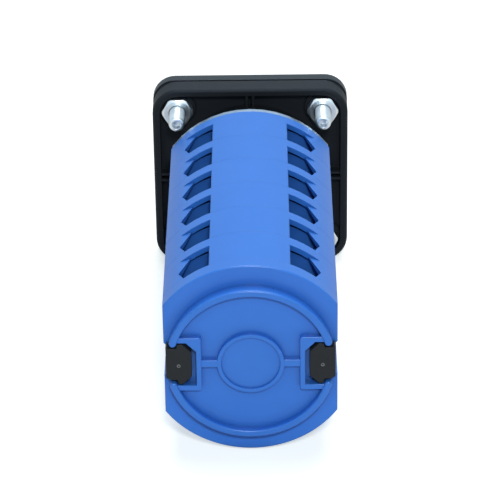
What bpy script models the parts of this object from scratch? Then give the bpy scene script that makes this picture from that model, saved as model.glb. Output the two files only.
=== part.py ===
"""Rotary cam switch with six contact stages, panel mounted, 48 mm front.

The origin is the centre of the panel clamping plane, which is the front face of
the mounting plate, on the shaft's axis. The knob is towards -Y, the stack of
contact stages towards +Y, and +Z is up. All sizes are in metres.
"""
import math

import bmesh
import bpy
from mathutils import Matrix, Vector

# Sizes common to the whole switch
SEAT = 0.0003            # gap kept between pieces that touch
STAGES = 6
PITCH = 0.0123           # one contact stage, seat included

# Shaft with the hubs that carry it
SHAFT_SIDE = 0.0060
SHAFT_CHAMFER = 0.0006
HUB_RADIUS = 0.0054
HUB_CLEARANCE = 0.0003

# Detent in the indexing housing
STAR_TIP = 0.0082
STAR_NOTCH = 0.0070
STAR_LOBES = 6
STAR_CLEARANCE = 0.0004
ROLLER_RADIUS = 0.0016
DETENT_COIL = 0.0013
DETENT_TURNS = 2.5
DETENT_LENGTH = 0.0025   # of the spring behind each roller
DETENT_WALL = 0.0021     # from the roller slot's end to the strap channel
HOUSING_DEPTH = 0.0116
HOUSING_FLOOR = 0.0052
HOUSING_SHELF = 0.0011   # how far the housing's flats stand out past the channel's floor
HOUSING_BULGE = 0.0008   # how far its arcs stand out past its flats
DISC_THICK = 0.0016
DISC_INSET = 0.0002

# Cams, plungers and contacts
CAM_RADIUS = 0.0080
CAM_LIFT = 0.0010        # rise over the switching angle
SWITCH_ANGLE = math.radians(60)
CAM_SPREAD = 1.3         # switching angles covered on each side of the middle
CAM_STANDOFF = 0.0004    # from the web to the cam, and twice that from the cam to the next stage
PLUNGER_HALF = 0.0025
GUIDE_THICK = 0.0013
GUIDE_HEIGHT = 0.0024
STRIP_OVERLAP = 0.0001   # how far the guides stand up past the fixed contacts
STRIP_THICK = 0.0009
STRIP_DEPTH = 0.0054
STRIP_LEG = 0.0057
STRIP_CLEARANCE = 0.0007 # between a plunger guide and a fixed contact
STRIP_BITE = 0.0002      # how deep the strips are set into the wall and the ledge
BRIDGE_THICK = 0.0008
BRIDGE_TIP = 0.0003      # height of the contact tips under the bridge
BRIDGE_DEPTH = 0.0050
TERMINAL_DROP = 0.0029   # terminal screws' axes under the fixed contacts' tops
TERMINAL_HEAD_RADIUS = 0.0025
TERMINAL_HEAD_HEIGHT = 0.0020
ACCESS_RADIUS = 0.0030
SPRING_COIL = 0.0018
SPRING_WIRE = 0.00025
SPRING_TURNS = 3.0
SPRING_LENGTH = 0.0068

# Tie straps and the channels they lie in
CHANNEL_DEPTH = 0.0024   # in the flats of the stack
CHANNEL_HALF = 0.0035
CHANNEL_CHAMFER = 0.0007
CHANNEL_DRAFT = 0.0001   # how much narrower each side of the channel is at its floor
STRAP_THICK = 0.0016
STRAP_HEAD_REACH = 0.0041
STRAP_SHOULDER = 0.0019  # how far the head stands out past each side of the strap
STRAP_HEAD_THICK = 0.0020
STRAP_HEAD_CHAMFER = 0.0020
STRAP_FRONT_DROP = 0.0025
HOOK_LENGTH = 0.0021
HOOK_REACH = 0.0018

# Shell of a contact stage
WALL = 0.0016
WEB = 0.0020
SIDE_WALL = 0.0047       # behind the terminal screws
WINDOW_INNER = 0.0090    # distance of a wiring window from the middle plane
WINDOW_FRONT = 0.0034    # rim in front of the window
WINDOW_KNEE_INSET = 0.0062   # the window's corners, in from the stack's flats
WINDOW_TIP_INSET = 0.0035
WINDOW_DEEP_INSET = 0.0050
WINDOW_TIP_REAR = 0.0033     # from the window's tip to the stage's rear
WINDOW_SILL = 0.0045         # height of the window's sill over the fixed contacts
SHOULDER_DROP = 0.0013   # how far the shoulder lies under the arc at the window
SHOULDER_INSET = 0.0037
POCKET_WEB = 0.0006      # between the window and the pocket at its tip
POCKET_RISE = 0.0015     # height of the pocket's floor over the fixed contacts
PARTITION = 0.0012
PARTITION_INSET = 0.0002
PARTITION_RISE = 0.0003
CAVITY_STEP = 0.0003     # slope of the contact room's roof out to its corner

# Rear cover
COVER_THICK = 0.0037
COVER_PLATEAU = 0.0010
COVER_RING_INSET = 0.00045   # from the stack's flats
COVER_RING_WIDTH = 0.00175
COVER_RING_HEIGHT = 0.0028
COVER_RIB_HEIGHT = 0.0022
COVER_WALL_HEIGHT = 0.0023
COVER_CROSS_HEIGHT = 0.0021
CENTRE_RING_OUTER = 0.0075
CENTRE_RING_WIDTH = 0.0010
CENTRE_DISC_HEIGHT = 0.0016
CROSS_RIB_WIDTH = 0.0019
POCKET_ROOM = 0.0010     # between the pocket's wall and the strap's head
POCKET_WALL = 0.0012
POCKET_ARM = 0.0014
POCKET_CHAMFER = 0.0022
ROOT = 0.0005            # how deep the cover's ribs are rooted in it

# Front frame, legend plate and mounting plate
PLATE_MARGIN = 0.0049    # how far the plate stands out past the flats of the stack
PLATE_CORNER = 0.0055
PLATE_THICK = 0.0054
PLATE_RIM = 0.0018
TRAY_DEPTH = 0.0030
BOSS_RADIUS = 0.0046
BOSS_HEIGHT = 0.0006
RIB_THICK = 0.0007
RIB_SPREAD = 0.0016
HOLE_INSET = 0.0062      # of the screws' axes from the plate's edges
FRAME_THICK = 0.0039
FRAME_CORNER = 0.0066
LEGEND_BORDER = 0.0040
LEGEND_THICK = 0.0005
LEGEND_CORNER = 0.0030
LEGEND_POCKET = 0.0009

# M4 plate screws and nuts
SCREW_RADIUS = 0.0018
SCREW_HEAD_RADIUS = 0.0036
SCREW_HEAD_HEIGHT = 0.0018
SCREW_SHORT = 0.0019     # how far the screws' free ends stop short of the end disc
NUT_FLATS = 0.0070
NUT_HEIGHT = 0.0032

# Knob with its screw
KNOB_RADIUS = 0.0150
KNOB_SKIRT = 0.0040
KNOB_DEPTH = 0.0180
GRIP_HALF_WIDTH = 0.0046
GRIP_INSET = 0.0008      # of the grip's ends from the skirt's edge
GRIP_NOSE = 0.0032
GRIP_TAPER = 0.90
KNOB_BORE = 0.0040       # radius of the recess for the screw's head
KNOB_BORE_DEPTH = 0.0040
KNOB_WEB = 0.0023        # between that recess and the shaft's socket
KNOB_SCREW_RADIUS = 0.0014
KNOB_SCREW_HEAD = 0.0033
KNOB_SCREW_HEAD_HEIGHT = 0.0020
KNOB_SCREW_LENGTH = 0.0080

# Widths that follow, from the shaft's axis outwards
SHAFT_HOLE = HUB_RADIUS + HUB_CLEARANCE
SLEEVE = SHAFT_SIDE / 2 + SEAT
SCREW_HOLE = SCREW_RADIUS + SEAT
ROLLER_CENTRE = STAR_TIP + SEAT + ROLLER_RADIUS
DETENT_START = ROLLER_CENTRE + ROLLER_RADIUS + SEAT
DETENT_SLOT_END = DETENT_START + DETENT_LENGTH + SEAT
CHANNEL_FLOOR = DETENT_SLOT_END + DETENT_WALL
HOUSING_WIDTH = 2 * (CHANNEL_FLOOR + HOUSING_SHELF)
HOUSING_RADIUS = HOUSING_WIDTH / 2 + HOUSING_BULGE
SIDE = CHANNEL_FLOOR + CHANNEL_DEPTH
BODY_WIDTH = 2 * SIDE
SIDE_INNER = SIDE - SIDE_WALL
WINDOW_KNEE = SIDE - WINDOW_KNEE_INSET
WINDOW_TIP = SIDE - WINDOW_TIP_INSET
WINDOW_DEEP = SIDE - WINDOW_DEEP_INSET
SHOULDER_OUTER = SIDE - SHOULDER_INSET
PARTITION_OUTER = WINDOW_INNER - PARTITION_INSET
PARTITION_INNER = PARTITION_OUTER - PARTITION
BRIDGE_HALF = PARTITION_INNER - SEAT
STRIP_INNER = PLUNGER_HALF + SEAT + GUIDE_THICK + STRIP_CLEARANCE
STRAP_INNER = CHANNEL_FLOOR + SEAT
STRAP_OUTER = STRAP_INNER + STRAP_THICK
STRAP_HALF = CHANNEL_HALF - SEAT
STRAP_HEAD_INNER = STRAP_INNER - STRAP_HEAD_REACH
STRAP_HEAD_HALF = STRAP_HALF + STRAP_SHOULDER
POCKET_WALL_INNER = STRAP_HEAD_INNER - POCKET_ROOM - POCKET_WALL
COVER_RING_OUTER = SIDE - COVER_RING_INSET
PLATE_SIDE = 2 * (SIDE + PLATE_MARGIN)
HOLE_PITCH = PLATE_SIDE - 2 * HOLE_INSET
LEGEND_SIDE = PLATE_SIDE - 2 * LEGEND_BORDER
GRIP_HALF_LENGTH = KNOB_RADIUS - GRIP_INSET

# Heights that follow, from the shaft's axis up
GUIDE_BOTTOM = CAM_RADIUS + CAM_LIFT + 2 * SEAT
GUIDE_TOP = GUIDE_BOTTOM + GUIDE_HEIGHT
STRIP_TOP = GUIDE_TOP - STRIP_OVERLAP
STRIP_FOOT = STRIP_TOP - STRIP_LEG
TERMINAL_HEIGHT = STRIP_TOP - TERMINAL_DROP
PARTITION_FOOT = STRIP_TOP + PARTITION_RISE
WINDOW_FLOOR = STRIP_TOP + WINDOW_SILL
POCKET_FLOOR = STRIP_TOP + POCKET_RISE
BRIDGE_BOTTOM = STRIP_TOP + SEAT + CAM_LIFT + BRIDGE_TIP
BRIDGE_TOP = BRIDGE_BOTTOM + BRIDGE_THICK
SPRING_FOOT = BRIDGE_TOP + SEAT
ROOF = SPRING_FOOT + SPRING_LENGTH + 2 * SEAT
BODY_RADIUS = ROOF + WALL

# Places along the axis that follow
PLATE_REAR = PLATE_THICK
TRAY_FLOOR = PLATE_REAR - TRAY_DEPTH
NUT_START = TRAY_FLOOR + BOSS_HEIGHT + SEAT
HOUSING_START = TRAY_FLOOR + SEAT
HOUSING_END = HOUSING_START + HOUSING_DEPTH
DISC_START = HOUSING_END + SEAT
SCREW_END = DISC_START - SCREW_SHORT
STACK_START = DISC_START + DISC_THICK + SEAT
STAGE_DEPTH = PITCH - SEAT
CAM_FACE_START = WEB + CAM_STANDOFF
CAM_FACE_END = STAGE_DEPTH - 2 * CAM_STANDOFF
CONTACT_Y = (WINDOW_FRONT + STAGE_DEPTH) / 2
WINDOW_TIP_Y = STAGE_DEPTH - WINDOW_TIP_REAR
COVER_START = STACK_START + STAGES * PITCH
COVER_REAR = COVER_START + COVER_THICK
HEAD_START = COVER_REAR + SEAT
HEAD_END = HEAD_START + STRAP_HEAD_THICK
STRAP_FRONT_Y = HOUSING_START + STRAP_FRONT_DROP
FRAME_REAR = -SEAT
FRAME_FRONT = FRAME_REAR - FRAME_THICK
LEGEND_FLOOR = FRAME_FRONT + LEGEND_POCKET
KNOB_REAR = FRAME_FRONT - SEAT
KNOB_FRONT = KNOB_REAR - KNOB_DEPTH
BORE_FLOOR = KNOB_FRONT + KNOB_BORE_DEPTH
KNOB_FLOOR = BORE_FLOOR + KNOB_WEB
SHAFT_FRONT = KNOB_FLOOR + SEAT
SHAFT_END = COVER_START - SEAT

for leftover in list(bpy.data.objects):
    bpy.data.objects.remove(leftover, do_unlink=True)

parts = bpy.data.collections.new("cam_switch")
bpy.context.scene.collection.children.link(parts)
cutters = bpy.data.collections.new("cutters")
bpy.context.scene.collection.children.link(cutters)


# Materials
def material(name, colour, roughness, metallic=0.0):
    """A Principled material with one colour."""
    result = bpy.data.materials.new(name)
    result.use_nodes = True
    shader = result.node_tree.nodes["Principled BSDF"]
    shader.inputs["Base Color"].default_value = (*colour, 1.0)
    shader.inputs["Roughness"].default_value = roughness
    shader.inputs["Metallic"].default_value = metallic
    return result


BLUE = material("blue_plastic", (0.075, 0.235, 0.80), 0.38)
BLACK = material("black_plastic", (0.011, 0.012, 0.014), 0.45)
CHARCOAL = material("strap_plastic", (0.020, 0.023, 0.026), 0.55)
LEGEND = material("legend_aluminium", (0.80, 0.81, 0.82), 0.35, 1.0)
ZINC = material("zinc", (0.72, 0.76, 0.80), 0.28, 1.0)
STEEL = material("steel", (0.55, 0.56, 0.58), 0.32, 1.0)
SPRING = material("spring_steel", (0.50, 0.50, 0.52), 0.30, 1.0)
CAM_PLASTIC = material("cam_plastic", (0.75, 0.73, 0.66), 0.50)
GUIDE_PLASTIC = material("plunger_plastic", (0.16, 0.16, 0.17), 0.50)


# Outlines, as lists of (a, b) points running anticlockwise
def arc(radius, start, end, count, centre=(0.0, 0.0)):
    """Points on a circle from one angle to another, both included."""
    angles = [start + (end - start) * i / count for i in range(count + 1)]
    return [(centre[0] + radius * math.cos(a), centre[1] + radius * math.sin(a)) for a in angles]


def circle(radius, count, centre=(0.0, 0.0), turn=0.0):
    return arc(radius, turn, turn + 2 * math.pi * (count - 1) / count, count - 1, centre)


def rectangle(x0, y0, x1, y1):
    return [(x0, y0), (x1, y0), (x1, y1), (x0, y1)]


def rounded_oblong(half_width, half_height, radius, count):
    """A rectangle with its corners rounded."""
    points = []
    for quarter, (sx, sy) in enumerate(((1, 1), (-1, 1), (-1, -1), (1, -1))):
        start = quarter * math.pi / 2
        corner = (sx * (half_width - radius), sy * (half_height - radius))
        points += arc(radius, start, start + math.pi / 2, count, corner)
    return points


def rounded_square(side, radius, count):
    return rounded_oblong(side / 2, side / 2, radius, count)


def flip(points, sx, sy):
    """The outline mirrored in one or both axes, still anticlockwise."""
    moved = [(sx * x, sy * y) for x, y in points]
    return moved if sx * sy > 0 else moved[::-1]


def stack_outline(inset=0.0, width=BODY_WIDTH, radius=BODY_RADIUS, count=12):
    """The stack's section: arcs above and below, flats with a strap channel at the sides."""
    half = width / 2 - inset
    bow = radius - inset
    corner = math.acos(half / bow)
    notch = [(half, -CHANNEL_HALF - CHANNEL_CHAMFER), (half - CHANNEL_CHAMFER, -CHANNEL_HALF),
             (CHANNEL_FLOOR, -CHANNEL_HALF + CHANNEL_DRAFT)]
    right = notch + [(x, -z) for x, z in reversed(notch)]
    left = [(-x, -z) for x, z in right]
    top = arc(bow, corner, math.pi - corner, count)
    bottom = arc(bow, math.pi + corner, 2 * math.pi - corner, count)
    return right + top + left + bottom


# Solids
PLANES = {
    "XZ": Matrix.Rotation(math.pi / 2, 4, "X"),
    "XY": Matrix.Identity(4),
    "YZ": Matrix(((0, 0, 1, 0), (1, 0, 0, 0), (0, 1, 0, 0), (0, 0, 0, 1))),
}


def evaluated_mesh(obj):
    """The object's shape with its modifiers, in world space. The object is used up."""
    bpy.context.view_layer.update()
    graph = bpy.context.evaluated_depsgraph_get()
    mesh = bpy.data.meshes.new_from_object(obj.evaluated_get(graph))
    mesh.transform(obj.matrix_world)
    bpy.data.objects.remove(obj, do_unlink=True)
    return mesh


def weld(mesh, distance=0.000002):
    """Joins a curve's loose caps to its sides, merges flat faces, and turns all faces out."""
    shape = bmesh.new()
    shape.from_mesh(mesh)
    bmesh.ops.remove_doubles(shape, verts=shape.verts, dist=distance)
    bmesh.ops.dissolve_degenerate(shape, dist=distance, edges=shape.edges)
    bmesh.ops.dissolve_limit(shape, angle_limit=math.radians(0.2), verts=shape.verts, edges=shape.edges)
    bmesh.ops.recalc_face_normals(shape, faces=shape.faces)
    shape.to_mesh(mesh)
    shape.free()
    return mesh


def prism_mesh(loops, start, end, plane="XZ"):
    """Flat outline in a plane, with holes where loops are nested, extruded between two places."""
    curve = bpy.data.curves.new("outline", "CURVE")
    curve.dimensions = "2D"
    curve.fill_mode = "BOTH"
    curve.extrude = abs(end - start) / 2
    for loop in loops:
        spline = curve.splines.new("POLY")
        spline.points.add(len(loop) - 1)
        for point, (a, b) in zip(spline.points, loop):
            point.co = (a, b, 0.0, 1.0)
        spline.use_cyclic_u = True
    obj = bpy.data.objects.new("outline", curve)
    parts.objects.link(obj)
    middle = (start + end) / 2
    shift = {"XZ": (0, middle, 0), "XY": (0, 0, middle), "YZ": (middle, 0, 0)}[plane]
    obj.matrix_world = Matrix.Translation(shift) @ PLANES[plane]
    mesh = weld(evaluated_mesh(obj))
    bpy.data.curves.remove(curve)
    return mesh


def round_mesh(radius, start, end, sides, axis="Y", centre=(0.0, 0.0, 0.0), radius_end=None):
    """Cylinder or cone along an axis between two places on it."""
    shape = bmesh.new()
    bmesh.ops.create_cone(shape, cap_ends=True, segments=sides, radius1=radius,
                          radius2=radius if radius_end is None else radius_end, depth=end - start)
    turn = {"X": Matrix.Rotation(math.pi / 2, 4, "Y"), "Y": Matrix.Rotation(-math.pi / 2, 4, "X"),
            "Z": Matrix.Identity(4)}[axis]
    along = {"X": Vector((1, 0, 0)), "Y": Vector((0, 1, 0)), "Z": Vector((0, 0, 1))}[axis]
    place = Matrix.Translation(Vector(centre) + along * (start + end) / 2)
    bmesh.ops.transform(shape, matrix=place @ turn, verts=shape.verts)
    mesh = bpy.data.meshes.new("round")
    shape.to_mesh(mesh)
    shape.free()
    return mesh


def turned_mesh(profile, steps):
    """Profile of (radius, height) points, outer side from top to bottom, turned about Z."""
    mesh = bpy.data.meshes.new("profile")
    shape = bmesh.new()
    verts = [shape.verts.new((r, 0.0, z)) for r, z in profile]
    for first, second in zip(verts, verts[1:]):
        shape.edges.new((first, second))
    shape.to_mesh(mesh)
    shape.free()
    obj = bpy.data.objects.new("profile", mesh)
    parts.objects.link(obj)
    screw = obj.modifiers.new("turn", "SCREW")
    screw.axis = "Z"
    screw.steps = steps
    screw.render_steps = steps
    screw.use_merge_vertices = True
    screw.merge_threshold = 0.000002
    screw.use_normal_calculate = True
    return weld(evaluated_mesh(obj))


def coil_mesh(radius, wire, length, turns, per_turn=5):
    """Helical spring along Z from 0 to its length, wire ends cut flat."""
    curve = bpy.data.curves.new("coil", "CURVE")
    curve.dimensions = "3D"
    curve.bevel_depth = wire
    curve.bevel_resolution = 0
    curve.use_fill_caps = True
    count = round(turns * per_turn)
    spline = curve.splines.new("POLY")
    spline.points.add(count)
    for i, point in enumerate(spline.points):
        angle = 2 * math.pi * turns * i / count
        height = wire + (length - 2 * wire) * i / count
        point.co = (radius * math.cos(angle), radius * math.sin(angle), height, 1.0)
    obj = bpy.data.objects.new("coil", curve)
    parts.objects.link(obj)
    mesh = weld(evaluated_mesh(obj))
    bpy.data.curves.remove(curve)
    return mesh


def add(name, mesh, look, location=(0.0, 0.0, 0.0), parent=None):
    """Puts a finished mesh into the switch as a named piece."""
    mesh.name = name
    mesh.materials.clear()
    mesh.materials.append(look)
    obj = bpy.data.objects.new(name, mesh)
    obj.location = location
    obj.parent = parent
    parts.objects.link(obj)
    return obj


def tool(name, mesh):
    """A cutter or an addition, kept apart from the pieces."""
    obj = bpy.data.objects.new(name, mesh)
    obj.hide_render = True
    obj.display_type = "WIRE"
    cutters.objects.link(obj)
    return obj


def shaped(base, steps):
    """Works a mesh with a list of (operation, name, mesh) steps, and returns the result."""
    obj = bpy.data.objects.new("work", base)
    parts.objects.link(obj)
    for operation, name, mesh in steps:
        modifier = obj.modifiers.new(name, "BOOLEAN")
        modifier.operation = operation
        modifier.solver = "EXACT"
        modifier.object = tool(name, mesh)
    return weld(evaluated_mesh(obj))


def axis_empty(name, location):
    """Empty on a joint's axis, which carries the pieces that move with it."""
    empty = bpy.data.objects.new(name, None)
    empty.location = location
    empty.empty_display_size = HUB_RADIUS
    parts.objects.link(empty)
    return empty


CORNERS = [(sx, sz) for sx in (1, -1) for sz in (1, -1)]
SCREW_PLACES = [(sx * HOLE_PITCH / 2, sz * HOLE_PITCH / 2) for sx, sz in CORNERS]
STAGE_STARTS = [STACK_START + i * PITCH for i in range(STAGES)]

# Mounting plate: a shallow tray with screw bosses and paired stiffening ribs
plate_steps = [("DIFFERENCE", "plate_tray", prism_mesh(
    [rounded_square(PLATE_SIDE - 2 * PLATE_RIM, PLATE_CORNER - PLATE_RIM, 4)],
    TRAY_FLOOR, PLATE_REAR + TRAY_DEPTH))]
for index, (x, z) in enumerate(SCREW_PLACES):
    plate_steps.append(("UNION", f"plate_boss_{index}", round_mesh(
        BOSS_RADIUS, TRAY_FLOOR / 2, TRAY_FLOOR + BOSS_HEIGHT, 16, "Y", (x, 0, z))))
rib_reach = PLATE_SIDE / 2 - PLATE_RIM / 2
rib_start = HOUSING_RADIUS + SEAT
for index, (sign, spread) in enumerate([(s, t) for s in (1, -1) for t in (1, -1)]):
    middle = spread * RIB_SPREAD / 2
    upright = rectangle(middle - RIB_THICK / 2, rib_start, middle + RIB_THICK / 2, rib_reach)
    level = rectangle(rib_start, middle - RIB_THICK / 2, rib_reach, middle + RIB_THICK / 2)
    plate_steps.append(("UNION", f"plate_rib_v{index}", prism_mesh(
        [flip(upright, 1, sign)], TRAY_FLOOR / 2, PLATE_REAR - SEAT / 2)))
    plate_steps.append(("UNION", f"plate_rib_h{index}", prism_mesh(
        [flip(level, sign, 1)], TRAY_FLOOR / 2, PLATE_REAR - SEAT / 2)))
for index, (x, z) in enumerate(SCREW_PLACES):
    plate_steps.append(("DIFFERENCE", f"plate_hole_{index}", round_mesh(
        SCREW_HOLE, -PLATE_THICK, 2 * PLATE_THICK, 12, "Y", (x, 0, z))))
plate_steps.append(("DIFFERENCE", "plate_shaft_hole", round_mesh(
    SHAFT_HOLE, -PLATE_THICK, 2 * PLATE_THICK, 24)))
add("mounting_plate", shaped(prism_mesh(
    [rounded_square(PLATE_SIDE, PLATE_CORNER, 5)], 0.0, PLATE_REAR), plate_steps), BLACK)

# Front frame: carries the legend plate in a pocket and the screw heads under it
frame_steps = [
    ("DIFFERENCE", "frame_pocket", prism_mesh(
        [rounded_square(LEGEND_SIDE + 2 * SEAT, LEGEND_CORNER + SEAT, 4)],
        FRAME_FRONT - LEGEND_POCKET, LEGEND_FLOOR)),
    ("DIFFERENCE", "frame_shaft_hole", round_mesh(
        SHAFT_HOLE, FRAME_FRONT - FRAME_THICK, FRAME_REAR + FRAME_THICK, 24)),
]
head_bottom = LEGEND_FLOOR + SCREW_HEAD_HEIGHT
head_slope = (SCREW_HEAD_RADIUS - SCREW_RADIUS) / SCREW_HEAD_HEIGHT
for index, (x, z) in enumerate(SCREW_PLACES):
    frame_steps.append(("DIFFERENCE", f"frame_hole_{index}", round_mesh(
        SCREW_HOLE, FRAME_FRONT - FRAME_THICK, FRAME_REAR + FRAME_THICK, 12, "Y", (x, 0, z))))
    frame_steps.append(("DIFFERENCE", f"frame_sink_{index}", round_mesh(
        SCREW_HEAD_RADIUS + SEAT + SEAT * head_slope, LEGEND_FLOOR - SEAT,
        head_bottom + SEAT, 12, "Y", (x, 0, z), SCREW_HOLE - SEAT * head_slope)))
add("front_frame", shaped(prism_mesh(
    [rounded_square(PLATE_SIDE, FRAME_CORNER, 5)], FRAME_FRONT, FRAME_REAR), frame_steps), BLACK)

# Legend plate: thin aluminium square in the frame's pocket
legend_rear = LEGEND_FLOOR - SEAT
add("legend_plate", prism_mesh(
    [rounded_square(LEGEND_SIDE, LEGEND_CORNER, 4), circle(SHAFT_HOLE + SEAT, 24)],
    legend_rear - LEGEND_THICK, legend_rear), LEGEND)

# Plate screws: countersunk M4, heads in the frame, free ends behind the nuts
dimple = SCREW_RADIUS / 2
screw_profile = [(0.0, SCREW_END - dimple), (dimple, SCREW_END),
                 (SCREW_RADIUS - SEAT, SCREW_END), (SCREW_RADIUS, SCREW_END - SEAT),
                 (SCREW_RADIUS, head_bottom), (SCREW_HEAD_RADIUS, LEGEND_FLOOR),
                 (0.0, LEGEND_FLOOR)]
screw = turned_mesh(screw_profile, 12)
screw.transform(Matrix.Rotation(-math.pi / 2, 4, "X"))
for index, (x, z) in enumerate(SCREW_PLACES):
    add(f"plate_screw_{index + 1}", screw, ZINC, (x, 0, z))

# Plate nuts: hexagons with a flat up, on the plate's bosses
nut = prism_mesh([circle(NUT_FLATS / math.sqrt(3), 6), circle(SCREW_HOLE, 12)],
                 NUT_START, NUT_START + NUT_HEIGHT)
for index, (x, z) in enumerate(SCREW_PLACES):
    add(f"plate_nut_{index + 1}", nut, ZINC, (x, 0, z))

# Indexing housing: star cavity with a roller slot on each side, closed by the end disc
cavity_radius = STAR_TIP + STAR_CLEARANCE
slot_half = ROLLER_RADIUS + SEAT
mouth = math.asin(slot_half / cavity_radius)
slot_end_half = slot_half - CHANNEL_DRAFT
star_cavity = ([(DETENT_SLOT_END, -slot_end_half), (DETENT_SLOT_END, slot_end_half)]
               + arc(cavity_radius, mouth, math.pi - mouth, 12)
               + [(-DETENT_SLOT_END, slot_end_half), (-DETENT_SLOT_END, -slot_end_half)]
               + arc(cavity_radius, math.pi + mouth, 2 * math.pi - mouth, 12))
cavity_start = HOUSING_START + HOUSING_FLOOR
hook_start = STRAP_FRONT_Y - SEAT
hook_end = STRAP_FRONT_Y + HOOK_LENGTH + SEAT
housing_steps = [
    ("DIFFERENCE", "star_cavity", prism_mesh([star_cavity], cavity_start, HOUSING_END + SEAT)),
    ("DIFFERENCE", "housing_hole", round_mesh(
        SHAFT_HOLE, HOUSING_START - SEAT, cavity_start + SEAT, 24)),
]
pocket_half = CHANNEL_HALF + CHANNEL_DRAFT / 2
for index, sx in enumerate((1, -1)):
    hook_pocket = rectangle(STRAP_INNER - HOOK_REACH - SEAT, hook_start, HOUSING_WIDTH, hook_end)
    housing_steps.append(("DIFFERENCE", f"hook_pocket_{index}", prism_mesh(
        [flip(hook_pocket, sx, 1)], -pocket_half, pocket_half, "XY")))
add("indexing_housing", shaped(prism_mesh(
    [stack_outline(0.0, HOUSING_WIDTH, HOUSING_RADIUS, 12)], HOUSING_START, HOUSING_END),
    housing_steps), BLACK)

# Detent rollers and the springs behind them
roller_start = cavity_start + SEAT
roller_end = HOUSING_END
detent_coil = coil_mesh(DETENT_COIL, SPRING_WIRE, DETENT_LENGTH, DETENT_TURNS)
detent_coil.transform(Matrix.Rotation(math.pi / 2, 4, "Y"))
roller = round_mesh(ROLLER_RADIUS, roller_start, roller_end, 14)
for label, sx in (("right", 1), ("left", -1)):
    add(f"detent_roller_{label}", roller, STEEL, (sx * ROLLER_CENTRE, 0, 0))
    spring = add(f"detent_spring_{label}", detent_coil, SPRING,
                 (sx * DETENT_START, (roller_start + roller_end) / 2, 0))
    spring.rotation_euler.y = 0.0 if sx > 0 else math.pi

# End disc: zinc plated steel between the indexing housing and the stack
add("end_disc", prism_mesh([stack_outline(DISC_INSET, count=14), circle(SHAFT_HOLE, 24)],
                           DISC_START, DISC_START + DISC_THICK), ZINC)

# Contact stage: web with the hub's hole, shell open at the rear, partitions and plunger guides
def on_arc(radius, x):
    """Height of an arc above the middle at a distance from the middle plane."""
    return math.sqrt(radius ** 2 - x ** 2)


def roof_points(x0, x1, count):
    """Points along the inside of the roof between two distances."""
    a0 = math.acos(x0 / ROOF)
    a1 = math.acos(x1 / ROOF)
    return arc(ROOF, a0, a1, count)


quarter_cavity = ([(SIDE_INNER, STRIP_TOP), (WINDOW_DEEP, PARTITION_FOOT + CAVITY_STEP),
                   (WINDOW_DEEP, on_arc(ROOF, WINDOW_DEEP))]
                  + roof_points(WINDOW_DEEP, PARTITION_OUTER, 2)[1:]
                  + [(PARTITION_OUTER, PARTITION_FOOT + CAVITY_STEP / 2), (PARTITION_INNER, PARTITION_FOOT)]
                  + roof_points(PARTITION_INNER, 0.0, 2)[:-1])
top_half = quarter_cavity + flip(quarter_cavity, -1, 1)
cavity_loop = top_half + [(-x, -z) for x, z in top_half]
guide_inner = PLUNGER_HALF + SEAT
ledge_top = STRIP_TOP - STRIP_THICK + STRIP_BITE
guide = [(guide_inner, GUIDE_BOTTOM), (PARTITION_OUTER, GUIDE_BOTTOM),
         (PARTITION_OUTER, ledge_top), (guide_inner + GUIDE_THICK, ledge_top),
         (guide_inner + GUIDE_THICK, GUIDE_TOP), (guide_inner, GUIDE_TOP)]
stage_steps = [
    ("DIFFERENCE", "stage_cavity", prism_mesh(
        [cavity_loop] + [flip(guide, sx, sz) for sx, sz in CORNERS], WEB, STAGE_DEPTH + WEB)),
    ("DIFFERENCE", "stage_hub_hole", round_mesh(SHAFT_HOLE, -WEB, 2 * WEB, 12)),
]
shoulder_high = on_arc(BODY_RADIUS, WINDOW_INNER) - SHOULDER_DROP
shoulder_low = on_arc(BODY_RADIUS, SHOULDER_OUTER)
shoulder_slope = (shoulder_high - shoulder_low) / (SHOULDER_OUTER - WINDOW_INNER)
shoulder_end = shoulder_high - shoulder_slope * (BODY_WIDTH - WINDOW_INNER)
above = 2 * BODY_RADIUS
shoulder = [(WINDOW_INNER, shoulder_high), (BODY_WIDTH, shoulder_end), (BODY_WIDTH, above),
            (WINDOW_INNER, above)]
past_rear = STAGE_DEPTH + WEB
rear_slope = (WINDOW_TIP - WINDOW_DEEP) / (STAGE_DEPTH - WINDOW_TIP_Y)
window = [(WINDOW_INNER, WINDOW_FRONT), (WINDOW_KNEE, WINDOW_FRONT), (WINDOW_TIP, WINDOW_TIP_Y),
          (WINDOW_DEEP - rear_slope * WEB, past_rear), (WINDOW_INNER, past_rear)]
front_slope = (WINDOW_TIP - WINDOW_KNEE) / (WINDOW_TIP_Y - WINDOW_FRONT)
pocket_inner = WINDOW_DEEP + POCKET_WEB
pocket_width = WINDOW_TIP - pocket_inner
pocket = [(pocket_inner, WINDOW_TIP_Y - pocket_width / front_slope), (WINDOW_TIP, WINDOW_TIP_Y),
          (pocket_inner, WINDOW_TIP_Y + pocket_width / rear_slope)]
for index, (sx, sz) in enumerate(CORNERS):
    stage_steps.append(("DIFFERENCE", f"stage_shoulder_{index}", prism_mesh(
        [flip(shoulder, sx, sz)], WINDOW_FRONT, past_rear)))
    low, high = sorted((sz * WINDOW_FLOOR, sz * above))
    stage_steps.append(("DIFFERENCE", f"stage_window_{index}", prism_mesh(
        [flip(window, sx, 1)], low, high, "XY")))
    low, high = sorted((sz * POCKET_FLOOR, sz * (WINDOW_FLOOR + SEAT)))
    stage_steps.append(("DIFFERENCE", f"stage_pocket_{index}", prism_mesh(
        [flip(pocket, sx, 1)], low, high, "XY")))
    start, end = sorted((sx * (SIDE_INNER - SEAT), sx * (SIDE + SEAT)))
    stage_steps.append(("DIFFERENCE", f"stage_access_{index}", round_mesh(
        ACCESS_RADIUS, start, end, 8, "X", (0, CONTACT_Y, sz * TERMINAL_HEIGHT))))

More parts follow.
